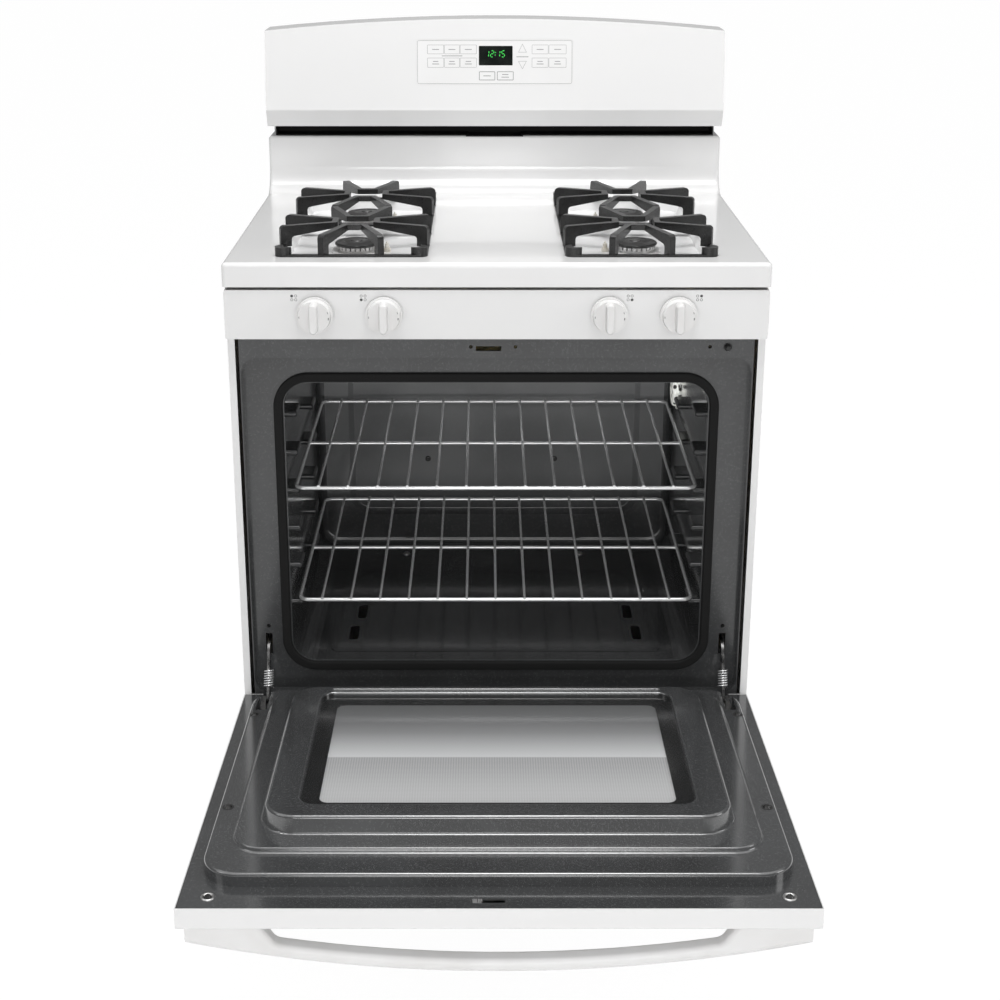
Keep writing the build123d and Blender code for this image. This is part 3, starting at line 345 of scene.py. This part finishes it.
wellLook = {"rim": 0.9125, "foot": 0.908, "middle": (0.203, 0.223), "half": (0.1, 0.205), "paintedLight": grey(0.93)}


# The burner wells are painted whiter than the rest of the top: painted light against the shade of the caps
# and grates.
def cooktopEnamel(wire):
    shade = whiteEnamel(wire)
    sunk = spread(along(wire, 2), wellLook["rim"], wellLook["foot"])
    sunk = sunk * (abs(abs(along(wire, 0)) - wellLook["middle"][0]) < wellLook["half"][0])
    sunk = sunk * (abs(along(wire, 1) - wellLook["middle"][1]) < wellLook["half"][1])
    shade["Base Color"] = tint(sunk, shade["Base Color"], wellLook["paintedLight"])
    return shade


porcelainCoat = {"Specular IOR Level": 0.2, "Coat Weight": 1.0, "Coat Roughness": 0.14, "Coat IOR": 1.5}
glassCoat = {"Specular IOR Level": 0.3, "Coat Weight": 0.5, "Coat Roughness": 0.16}
finishes = {
    "white_enamel": paint("whiteEnamel", {"Coat Weight": 0.25, "Coat Roughness": 0.08}, whiteEnamel),
    "white_plastic": paint("whitePlastic", {"Specular IOR Level": 0.45}, whitePlastic),
    "dark_porcelain": paint("speckledPorcelain", porcelainCoat, speckledPorcelain),
    "galvanised_steel": paint("zincSheet", {"Metallic": 0.9}, zincSheet),
    "plated_steel": paint("platedSteel", {"Metallic": 1.0}, platedSteel),
    "glass_wool": paint("glassWool", {"Roughness": 0.95, "Sheen Weight": 0.3}, glassWool),
    "gasket_braid": paint("gasketBraid", {"Roughness": 0.8, "Specular IOR Level": 0.2}, gasketBraid),
    "overlay_film": paint("overlayFilm", {"Specular IOR Level": 0.4}, overlayFilm),
    "circuit_board": paint("circuitBoard", {"Specular IOR Level": 0.5}, circuitBoard),
    "cast_aluminium": paint("castAluminium", {"Metallic": 0.85}, castAluminium),
    "valve_brass": paint("valveBrass", {"Metallic": 1.0}, valveBrass),
    "black_plastic": paint("blackPlastic", {"Specular IOR Level": 0.4}, blackPlastic),
    "black_cap": paint("capEnamel", {"Specular IOR Level": 0.5}, capEnamel),
    "igniter_ceramic": paint("glazedCeramic", {"Coat Weight": 0.4}, glazedCeramic),
    "lamp_glass": paint("lampGlass", {"Emission Strength": 1.0, "IOR": 1.5}, lampGlass),
    "door_glass": paint("doorGlass", glassCoat, doorGlass),
    "rack_chrome": paint("rackChrome", {"Metallic": 0.72}, rackChrome),
    "grate_iron": paint("castIron", {"Specular IOR Level": 0.5}, castIron),
}
for subpart in frame["record"]["subparts"]:
    shown = frame["nodes"][subpart["node"]]
    shown.data.materials.clear()
    shown.data.materials.append(finishes[subpart["material_slot"]])


def refinish(finish, *names):  # these nodes leave the finish of their slot
    for name in names:
        frame["nodes"][name].data.materials[0] = finish


windowRecess = {"half": (0.2495, 0.159), "middle": -0.259, "hinge": (-0.023, 0.24), "rise": (0.0523, 0.9986),
                "top": 0.0515, "foot": 0.0495, "recessShade": grey(0.012), "share": 0.85}


# The recess round the window is painted darker: painted shade and painted reflection of the dark oven.
def doorPorcelain(wire):
    shade = speckledPorcelain(wire)
    y = along(wire, 1)
    lift = (y - windowRecess["hinge"][0]) * windowRecess["rise"][0]
    lift = lift + (along(wire, 2) - windowRecess["hinge"][1]) * windowRecess["rise"][1]
    sunk = spread(lift, windowRecess["top"], windowRecess["foot"])
    sunk = sunk * (abs(along(wire, 0)) < windowRecess["half"][0])
    sunk = sunk * (abs(y - windowRecess["middle"]) < windowRecess["half"][1])
    shade["Base Color"] = tint(sunk * windowRecess["share"], shade["Base Color"], windowRecess["recessShade"])
    return shade


linerCoat = {"Specular IOR Level": 0.2, "Coat Weight": 1.0, "Coat Roughness": 0.13, "Coat IOR": 2.0}
cavityCoat = {"Specular IOR Level": 0.2, "Coat Weight": 1.0, "Coat Roughness": 0.12}
refinish(paint("doorPorcelain", linerCoat, doorPorcelain), "door_inner_liner")
refinish(paint("cavityPorcelain", cavityCoat, cavityPorcelain),
         "oven_liner", "oven_bottom_panel", "rack_supports")
refinish(paint("wallPorcelain", cavityCoat, wallPorcelain), "oven_back_wall")
refinish(paint("cooktopEnamel", {"Coat Weight": 0.6, "Coat Roughness": 0.05}, cooktopEnamel), "cooktop")
print("finishes on the CAD nodes:", len(finishes))


def link(name, mesh, body, finish):  # a finished mesh becomes a piece that rides on a body
    mesh.materials.append(finish)
    made = bpy.data.objects.new(name, mesh)
    bpy.context.scene.collection.objects.link(made)
    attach(made, body)


def meshOf(name, form, smooth=False):
    bmesh.ops.recalc_face_normals(form, faces=form.faces)
    for face in form.faces:
        face.smooth = smooth
    mesh = bpy.data.meshes.new(name)
    form.to_mesh(mesh)
    form.free()
    return mesh


def bridge(form, low, top):  # a strip of faces between two closed rings
    count = len(low)
    for i in range(count):
        j = (i + 1) % count
        form.faces.new((low[i], low[j], top[j], top[i]))


def roundedLoop(u, v, wide, high, radius, steps=4):  # steps to each corner
    loop = []
    for quarter, (signU, signV) in enumerate(((1, 1), (-1, 1), (-1, -1), (1, -1))):
        for step in range(steps + 1):
            turn = math.radians(90 * (quarter + step / steps))
            loop.append((u + signU * (wide / 2 - radius) + radius * math.cos(turn),
                         v + signV * (high / 2 - radius) + radius * math.sin(turn)))
    return loop


def roundLoop(u, v, radius, steps=20):
    return [(u + radius * math.cos(2 * math.pi * i / steps), v + radius * math.sin(2 * math.pi * i / steps))
            for i in range(steps)]


def band(loop, width, sharpest=0.35):  # a closed line of even width, as outer and inner loops
    count = len(loop)
    inner = []
    for i in range(count):
        before, here, after = Vector(loop[i - 1]), Vector(loop[i]), Vector(loop[(i + 1) % count])
        first = (here - before).normalized()
        second = (after - here).normalized()
        normal = Vector((-first.y - second.y, first.x + second.x)).normalized()
        reach = width / max(sharpest, normal.dot(Vector((-first.y, first.x))))
        inner.append(tuple(here + normal * reach))
    return loop, inner


def printed(name, shapes, lay, thick, body, finish):  # thin raised ink, in millimetres on a face
    form = bmesh.new()
    for shape in shapes:
        rings = shape if isinstance(shape, tuple) else (shape,)
        tops = [[form.verts.new(lay(u, v, thick)) for u, v in ring] for ring in rings]
        feet = [[form.verts.new(lay(u, v, 0)) for u, v in ring] for ring in rings]
        if len(rings) == 1:
            form.faces.new(tops[0])
        else:
            bridge(form, *tops)
        for top, foot in zip(tops, feet):
            bridge(form, foot, top)
    link(name, meshOf(name, form), body, finish)


def inkOf(name, level, rough):
    def shade(wire):
        patch = grain(wire, 900, 2)
        return {"Base Color": tint(mottle(patch), grey(level), grey(level * 1.25)),
                "Roughness": mottle(patch, rough, rough + 0.1)}
    return paint(name, {"Specular IOR Level": 0.4}, shade)


greyInk = inkOf("greyInk", 0.17, 0.45)
paleInk = inkOf("paleInk", 0.3, 0.45)
darkInk = inkOf("darkInk", 0.06, 0.45)

keypad = {
    "middle": (0, 0.4928, 1.130), "lean": math.atan(21 / 137), "filmTop": -0.1, "ink": 0.05,
    "film": (0, 0, 254, 70, 3), "line": 0.6,
    "columns": (-110.9, -83.1, -57.2, -29.4), "rightColumns": (60.6, 88.3, 117.8),
    "rows": ((28.0, 13.1), (7.0, -8.7)), "lowKeys": ((-26.0, 1.0), (3.5, 31.2)), "lowRow": (-15.0, -29.2),
    "window": (1.7, 10.5, 55.4, 31.4, 1.2), "arrows": (45.5, 14.0, (29.7, 15.7), (1.7, -11.4)),
    "keyGap": 0.6, "keyCorner": 1.2, "lowLine": 1.5, "dashPitch": 4.2,
    "dash": (11.5, 2.5), "lowDash": (12.5, 2.0), "titles": ((45.5, 8.6, 20), (-70, 10.1, 34)),
}


def onConsole(u, v, lift):
    lean = keypad["lean"]
    rise = (keypad["filmTop"] + lift) / 1000
    return Vector(keypad["middle"]) + Vector((
        u / 1000,
        v / 1000 * math.sin(lean) - rise * math.cos(lean),
        v / 1000 * math.cos(lean) + rise * math.sin(lean)))


def keyBox(left, right, top, low):
    return roundedLoop((left + right) / 2, (top + low) / 2, right - left - keypad["keyGap"], top - low,
                       keypad["keyCorner"])


def dash(u, v, wide, high=1.0):  # stands where a key's name would be printed
    return roundedLoop(u, v, wide, high, high * 0.45, 2)


def keyName(left, right, top, low, extra, size):  # one dash, or one more for each extra line
    wide, less = size
    return [dash((left + right) / 2, (top + low) / 2 + (k - extra / 2) * keypad["dashPitch"], wide - less * k)
            for k in range(extra + 1)]


keyLines, lowLines, keyDashes = [], [], []
for columns in (keypad["columns"], keypad["rightColumns"]):
    for left, right in zip(columns, columns[1:]):
        for row, (top, low) in enumerate(keypad["rows"]):
            keyLines.append(band(keyBox(left, right, top, low), keypad["line"]))
            keyDashes += keyName(left, right, top, low, row, keypad["dash"])
for count, (left, right) in enumerate(keypad["lowKeys"]):
    top, low = keypad["lowRow"]
    lowLines.append(band(keyBox(left, right, top, low), keypad["line"] * keypad["lowLine"]))
    keyDashes += keyName(left, right, top, low, count, keypad["lowDash"])
arrowU, arrowWide, (upTop, upLow), (downTop, downLow) = keypad["arrows"]
upArrow = [(arrowU - arrowWide / 2, upLow), (arrowU + arrowWide / 2, upLow), (arrowU, upTop)]
downArrow = [(arrowU - arrowWide / 2, downTop), (arrowU, downLow), (arrowU + arrowWide / 2, downTop)]
filmEdge = roundedLoop(*keypad["film"])
keyLines += [band(loop, keypad["line"]) for loop in (upArrow, downArrow, filmEdge)]
keyDashes += [dash(*title) for title in keypad["titles"]]
printed("keypad_lines", keyLines, onConsole, keypad["ink"], "range_body", paleInk)
printed("keypad_dashes", keyDashes, onConsole, keypad["ink"], "range_body", greyInk)
printed("keypad_low_lines", lowLines, onConsole, keypad["ink"], "range_body", greyInk)


def smokedWindow(wire):
    film = grain(wire, 60, 2)
    return {"Base Color": tint(mottle(film), (0.004, 0.006, 0.005, 1), (0.009, 0.012, 0.01, 1)),
            "Roughness": mottle(film, 0.08, 0.16)}


def litSegment(wire):
    glow = grain(wire, 700, 1)
    return {"Base Color": tint(glow, (0.02, 0.3, 0.04, 1), (0.04, 0.42, 0.07, 1)),
            "Emission Color": tint(glow, (0.02, 0.42, 0.04, 1), (0.05, 0.62, 0.09, 1))}


windowGlass = paint("smokedWindow", {"Specular IOR Level": 0.35}, smokedWindow)
clockGreen = paint("litSegment", {"Emission Strength": 1.0, "Roughness": 0.3}, litSegment)
printed("clock_window", [roundedLoop(*keypad["window"])], onConsole, keypad["ink"],
        "range_body", windowGlass)

clock = {"places": (-12.2, -4.2, 6.0, 13.8), "digits": ("bc", "abged", "bc", "afgcd"),
         "wide": 4.8, "high": 10.0, "stroke": 1.15, "gap": 0.15, "middle": 13.4, "slant": 0.1,
         "colon": 0.9, "dots": (2.0, -2.0), "dot": 0.75}


def segment(name, centre):
    half, tall, stroke = clock["wide"] / 2, clock["high"] / 2, clock["stroke"] / 2
    gap = stroke + clock["gap"]
    level = {"a": tall, "g": 0, "d": -tall}
    if name in level:
        v = level[name]
        loop = [(-half + gap, v), (-half + gap + stroke, v + stroke), (half - gap - stroke, v + stroke),
                (half - gap, v), (half - gap - stroke, v - stroke), (-half + gap + stroke, v - stroke)]
    else:
        u = half if name in "bc" else -half
        low, top = (gap, tall - gap) if name in "bf" else (-tall + gap, -gap)
        loop = [(u, low), (u + stroke, low + stroke), (u + stroke, top - stroke), (u, top),
                (u - stroke, top - stroke), (u - stroke, low + stroke)]
    return [(centre + u + v * clock["slant"], clock["middle"] + v) for u, v in loop]


lit = [segment(name, place) for place, names in zip(clock["places"], clock["digits"]) for name in names]
for v in clock["dots"]:
    lit.append(roundLoop(clock["colon"] + v * clock["slant"], clock["middle"] + v, clock["dot"], 10))


def onWindow(u, v, lift):
    return onConsole(u, v, lift + keypad["ink"])


printed("clock_digits", lit, onWindow, keypad["ink"], "range_body", clockGreen)
print("console keypad printed")

knobMarks = {"left_rear": (-252, (-1, 1)), "left_front": (-156, (-1, -1)),
             "right_front": (156, (1, -1)), "right_rear": (252, (1, 1))}
panelPrint = {"face": -25.0, "knobHeight": 841.0, "aside": 28.6, "above": 23.4, "pitch": 5.4, "dot": 2.0,
              "line": 0.7, "ink": 0.06}


def onPanel(u, v, lift):
    return Vector((u, panelPrint["face"] - lift, v)) / 1000


iconDots, iconRings = [], []
for x, (side, depth) in knobMarks.values():
    for signU in (-1, 1):
        for signV in (-1, 1):
            u = x + side * panelPrint["aside"] + signU * panelPrint["pitch"] / 2
            v = panelPrint["knobHeight"] + panelPrint["above"] + signV * panelPrint["pitch"] / 2
            if (signU, signV) == (side, depth):
                iconDots.append(roundLoop(u, v, panelPrint["dot"]))
            else:
                iconRings.append(band(roundLoop(u, v, panelPrint["dot"]), panelPrint["line"]))
printed("burner_icon_dots", iconDots, onPanel, panelPrint["ink"], "range_body", darkInk)
printed("burner_icon_rings", iconRings, onPanel, panelPrint["ink"], "range_body", greyInk)

dialMarks = {"depth": 13.0, "ring": 20.3, "corner": 0.4, "ink": 0.06,  # ticks: angle, width, length
             "ticks": ((90, 0.9, 3.2), (180, 0.9, 3.0), (18, 0.9, 3.0), (-6, 1.5, 3.4), (-90, 1.6, 4.6))}


def onKnob(name):
    x = knobMarks[name][0]
    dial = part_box("knob_" + name)[1].y * 1000 - dialMarks["depth"]

    def lay(u, v, lift):
        return Vector((x + u, dial - lift, panelPrint["knobHeight"] + v)) / 1000
    return lay


ticks = []
for angle, thick, long in dialMarks["ticks"]:
    turn = Matrix.Rotation(math.radians(angle), 2)
    loop = roundedLoop(dialMarks["ring"], 0, thick, long, dialMarks["corner"], 2)
    ticks.append([tuple(turn @ Vector(point)) for point in loop])
for name in knobMarks:
    printed("knob_marks_" + name, ticks, onKnob(name), dialMarks["ink"],
            "knob_" + name, greyInk)
print("control panel and knobs marked")

headForm = {"sides": 16, "cross": (0.34, 0.14), "sunk": 0.45,  # shares of the head's radius and height
            "profile": ((1.0, 0.0), (1.0, 0.25), (0.93, 0.55), (0.75, 0.82), (0.5, 0.95), (0.34, 1.0))}


def panHeads(name, places, size, finish):  # domed screw heads with a cross recess, fixed to the range's body
    form = bmesh.new()
    radius, height = size
    sides = headForm["sides"]
    far, near = headForm["cross"]
    shares = [([share] * sides, rise) for share, rise in headForm["profile"]]
    shares.append(([far if i % 4 == 0 else near for i in range(sides)], headForm["sunk"]))
    for centre, axis in places:
        turn = Vector(axis).to_track_quat("Z", "Y").to_matrix().to_4x4()
        rings = []
        for reaches, rise in shares:
            ring = []
            for i, reach in enumerate(reaches):
                angle = 2 * math.pi * i / sides
                out = reach * radius
                spot = Vector((out * math.cos(angle), out * math.sin(angle), rise * height))
                ring.append(form.verts.new(Vector(centre) + turn @ spot))
            rings.append(ring)
        for low, top in zip(rings, rings[1:]):
            bridge(form, low, top)
        form.faces.new(rings[-1])
    link(name, meshOf(name, form, True), "range_body", finish)


def blackOxide(wire):
    stain = grain(wire, 90, 3)
    return {"Base Color": tint(mottle(stain), grey(0.012), grey(0.03, 0.02)),
            "Roughness": mottle(stain, 0.16, 0.3)}


doorTurn = {"hinge": (-23.0, 240.0), "open": math.radians(87), "rim": -15.0}


def onDoor(u, v, lift):  # a spot on the inside of the open door: across, up when shut, out of its rim
    hingeY, hingeZ = doorTurn["hinge"]
    y, z = doorTurn["rim"] + lift - hingeY, v - hingeZ
    cosine, sine = math.cos(doorTurn["open"]), math.sin(doorTurn["open"])
    return Vector((u, hingeY + y * cosine - z * sine, hingeZ + y * sine + z * cosine)) / 1000


strike = {"plate": (-25.2, 785.5, 11.5, 7.6, 1.2), "thick": 0.6}
printed("latch_strike", [roundedLoop(*strike["plate"])], onDoor, strike["thick"], "door",
        finishes["plated_steel"])

cups = {"places": ((-342, 777), (342, 777)), "sides": 28,
        "profile": ((8.6, 0.0), (8.2, 0.9), (7.2, 1.2), (6.0, 0.8), (5.0, 0.15))}
cupForm = bmesh.new()
for u, v in cups["places"]:
    rings = [[cupForm.verts.new(onDoor(a, b, rise)) for a, b in roundLoop(u, v, reach, cups["sides"])]
             for reach, rise in cups["profile"]]
    for low, top in zip(rings, rings[1:]):
        bridge(cupForm, low, top)
link("door_cup_washers", meshOf("door_cup_washers", cupForm, True), "door",
     finishes["plated_steel"])

screwCoat = {"Specular IOR Level": 0.3, "Coat Weight": 0.6, "Coat Roughness": 0.08}
darkScrew = paint("blackOxide", screwCoat, blackOxide)
refinish(darkScrew, "door_screws")

sideScrews = {"places": ((348, 333), (345, 597)), "step": 16.0, "ring": 7.4, "width": 2.2, "thick": 0.25}


def onStep(u, v, lift):
    return onDoor(u, v, lift + sideScrews["step"])


# Black rings round the side screws: painted shadow of their dimples.
screwShadowRings = [band(roundLoop(side * u, v, sideScrews["ring"], 28), sideScrews["width"])
              for u, v in sideScrews["places"] for side in (-1, 1)]
printed("door_screw_shadow_rings", screwShadowRings, onStep, sideScrews["thick"], "door",
        finishes["black_plastic"])


def oiledSteel(wire):
    oil = grain(wire, 60, 3)
    return {"Base Color": tint(spread(oil, 0.35, 0.65), grey(0.05), grey(0.24, 0.01)),
            "Roughness": mottle(oil, 0.2, 0.42)}


refinish(paint("oiledSteel", {"Metallic": 1.0}, oiledSteel), "hinge_arms")


# The vent duct is painted near-black: painted shade in the slot under the console.
def paintedShadeSteel(wire):
    paintedShade = grain(wire, 24, 4)
    return {"Base Color": tint(mottle(paintedShade), grey(0.006), grey(0.016, 0.05)),
            "Roughness": mottle(paintedShade, 0.6, 0.85)}


refinish(paint("paintedShadeSteel", {"Specular IOR Level": 0.2}, paintedShadeSteel), "vent_duct")

cavityScrews = {"floor": ((-0.153, 0.408), (0.149, 0.408)), "floorHead": (0.0062, 0.0032),
                "wall": ((-0.1156, 0.448), (0.1053, 0.448)), "wallFace": 0.4651, "wallHead": (0.005, 0.0022)}
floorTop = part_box("oven_bottom_panel")[1].z
floorSpots = [((x, y, floorTop), (0, 0, 1)) for x, y in cavityScrews["floor"]]
wallSpots = [((x, cavityScrews["wallFace"], z), (0, -1, 0)) for x, z in cavityScrews["wall"]]
panHeads("oven_floor_screws", floorSpots, cavityScrews["floorHead"], finishes["plated_steel"])
panHeads("oven_wall_screws", wallSpots, cavityScrews["wallHead"], darkScrew)

outerGlass = {"half": (0.226, 0.127), "middle": -0.256, "border": grey(0.006)}


def tintedGlass(wire):
    beside = abs(along(wire, 0)) > outerGlass["half"][0]
    beyond = abs(along(wire, 1) - outerGlass["middle"]) > outerGlass["half"][1]
    film = grain(wire, 5, 2)
    shade = tint(mottle(film), grey(0.012, -0.02), grey(0.02, -0.02))
    return {"Base Color": tint(beside.maths("MAXIMUM", beside, beyond), shade, outerGlass["border"]),
            "Roughness": mottle(film, 0.03, 0.07)}


refinish(paint("tintedGlass", {"Coat Weight": 0.5}, tintedGlass), "door_outer_glass")

rearScrews = {"inset": 0.009, "rows": (0.12, 0.33, 0.54, 0.75), "top": (-0.24, 0.0, 0.24),
              "head": (0.0052, 0.003)}
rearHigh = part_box("rear_panel")[1]
rearSpots = [(side * (rearHigh.x - rearScrews["inset"]), z) for z in rearScrews["rows"] for side in (-1, 1)]
rearSpots += [(x, rearHigh.z - rearScrews["inset"]) for x in rearScrews["top"]]
panHeads("rear_panel_screws", [((x, rearHigh.y, z), (0, 1, 0)) for x, z in rearSpots], rearScrews["head"],
         finishes["plated_steel"])

coverScrews = {"columns": (-0.33, -0.11, 0.11, 0.33), "low": 0.01, "top": 0.03, "head": (0.0046, 0.0026)}
coverLow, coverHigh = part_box("backguard_rear_cover")
coverRows = (coverLow.z + coverScrews["low"], coverHigh.z - coverScrews["top"])
coverSpots = [((x, rearHigh.y, z), (0, 1, 0)) for x in coverScrews["columns"] for z in coverRows]
panHeads("rear_cover_screws", coverSpots, coverScrews["head"], finishes["plated_steel"])

hingeSpring = {"x": 0.341, "from": (-0.0145, 0.2595), "to": (-0.0045, 0.2825), "radius": 0.0068,
               "wire": 0.0009, "turns": 7, "steps": 14}
for side, name in ((-1, "left"), (1, "right")):
    start = Vector((0, *hingeSpring["from"]))
    run = Vector((0, *hingeSpring["to"])) - start
    across = Vector((1, 0, 0))
    other = run.normalized().cross(across)
    coil = bpy.data.curves.new("hinge_spring_" + name, "CURVE")
    coil.dimensions = "3D"
    coil.bevel_depth = hingeSpring["wire"]
    coil.bevel_resolution = 3
    steps = hingeSpring["turns"] * hingeSpring["steps"]
    spline = coil.splines.new("POLY")
    spline.points.add(steps)
    for i, point in enumerate(spline.points):
        angle = 2 * math.pi * hingeSpring["turns"] * i / steps
        spot = start + run * (i / steps)
        spot += (across * math.cos(angle) + other * math.sin(angle)) * hingeSpring["radius"]
        point.co = (spot.x + side * hingeSpring["x"], spot.y, spot.z, 1)
    link("hinge_spring_" + name, coil, "range_body", finishes["rack_chrome"])
print("screws and hinge springs fitted")

cameraView = {"place": (-0.01692, -2.178, 1.4192), "pitch": 17.376, "lens": 57.81, "shift": (0.0156, -0.12)}
camera = bpy.data.objects.new("camera", bpy.data.cameras.new("camera"))
bpy.context.scene.collection.objects.link(camera)
camera.location = cameraView["place"]
camera.rotation_euler = (math.radians(90 - cameraView["pitch"]), 0, 0)
camera.data.lens = cameraView["lens"]
camera.data.shift_x, camera.data.shift_y = cameraView["shift"]
bpy.context.scene.camera = camera
bpy.context.scene.view_settings.view_transform = "Standard"

softBoxes = {  # place, aim, width and height, watts
    "keyLight": ((-2.5, -1.3, 2.3), (0, 0, 0.6), (1.0, 1.0), 7),
    "fillLight": ((2.6, -1.0, 1.6), (0, 0, 0.6), (1.0, 1.0), 11),
    "topLight": ((0.1, -0.3, 3.1), (0, -0.15, 0.6), (1.2, 1.2), 44),
    "frontLight": ((0.0, -2.6, 1.05), (0, 0.4, 0.75), (0.8, 0.8), 11),
    "sparkLight": ((0.0, -2.6, 0.9), (0, 0.4, 0.5), (1.0, 0.5), 9),
    "ovenLight": ((0.05, 0.22, 0.732), (0.02, 0.46, 0.56), (0.4, 0.1), 0.8),
}
for name, (place, aim, (wide, high), watts) in softBoxes.items():
    lamp = bpy.data.objects.new(name, bpy.data.lights.new(name, "AREA"))
    bpy.context.scene.collection.objects.link(lamp)
    lamp.location = place
    lamp.rotation_euler = (Vector(aim) - Vector(place)).to_track_quat("-Z", "Y").to_euler()
    lamp.data.shape = "RECTANGLE"
    lamp.data.size = wide
    lamp.data.size_y = high
    lamp.data.energy = watts
    lamp.visible_glossy = name not in ("frontLight", "ovenLight")  # these two leave no mirror image

studio = {"room": grey(0.48), "white": grey(1.0),
          "horizon": grey(0.2), "overhead": grey(1.3), "rise": (0.6, 0.85)}  # what shiny faces mirror
world = bpy.data.worlds.new("studio")
bpy.context.scene.world = world
world.use_nodes = True
sky = Wire(world.node_tree)
seen = sky.node("LightPath", out="Is Camera Ray")
mirrored = sky.node("LightPath", out="Is Glossy Ray")
through = sky.node("LightPath", out="Is Transmission Ray")
shownWhite = seen.maths("MAXIMUM", seen, through)
height = sky.node("SeparateXYZ", None, {0: sky.node("TexCoord", out="Generated")}, 2)
ceiling = tint(spread(height, *studio["rise"]), studio["horizon"], studio["overhead"])
roomGlow = tint(shownWhite, tint(mirrored, studio["room"], ceiling), studio["white"])
world.node_tree.links.new(roomGlow.socket, world.node_tree.nodes["Background"].inputs["Color"])

floorLook = {"size": 30, "drop": 0.0005, "glow": {"Color": grey(1.0), "Strength": 1.06}, "share": 0.9,
             "Base Color": grey(0.82), "Roughness": 0.9, "Specular IOR Level": 0.0,
             "shade": 0.8, "middle": 0.28, "across": (0.40, 0.34), "along": (0.33, 0.27)}  # below the range
floorMesh = bpy.data.meshes.new("floor")
floorForm = bmesh.new()
bmesh.ops.create_grid(floorForm, x_segments=2, y_segments=2, size=floorLook["size"])
floorForm.to_mesh(floorMesh)
floorForm.free()
floor = bpy.data.objects.new("floor", floorMesh)
bpy.context.scene.collection.objects.link(floor)
floor.location.z = -floorLook["drop"]
floorPaint = bpy.data.materials.new("paleFloor")
floorPaint.use_nodes = True
floorTree = floorPaint.node_tree
floorShader = floorTree.nodes["Principled BSDF"]
for socket in ("Base Color", "Roughness", "Specular IOR Level"):
    floorShader.inputs[socket].default_value = floorLook[socket]
floorWire = Wire(floorTree)
floorSeen = floorWire.node("LightPath", out="Is Camera Ray")
floorSeen = floorSeen.maths("MAXIMUM", floorSeen, floorWire.node("LightPath", out="Is Glossy Ray"))
under = spread(abs(along(floorWire, 0)), *floorLook["across"])
under = under * spread(abs(along(floorWire, 1) - floorLook["middle"]), *floorLook["along"])
glowShare = floorSeen * (floorLook["share"] - under * floorLook["shade"])
litFloor = Wire(floorTree, floorShader.outputs[0])
whiteGlow = floorWire.node("Emission", None, floorLook["glow"])
blended = floorWire.node("MixShader", None, {0: glowShare, 1: litFloor, 2: whiteGlow})
floorTree.links.new(blended.socket, floorTree.nodes["Material Output"].inputs["Surface"])
floorMesh.materials.append(floorPaint)
print("camera, lamps and floor are in place")
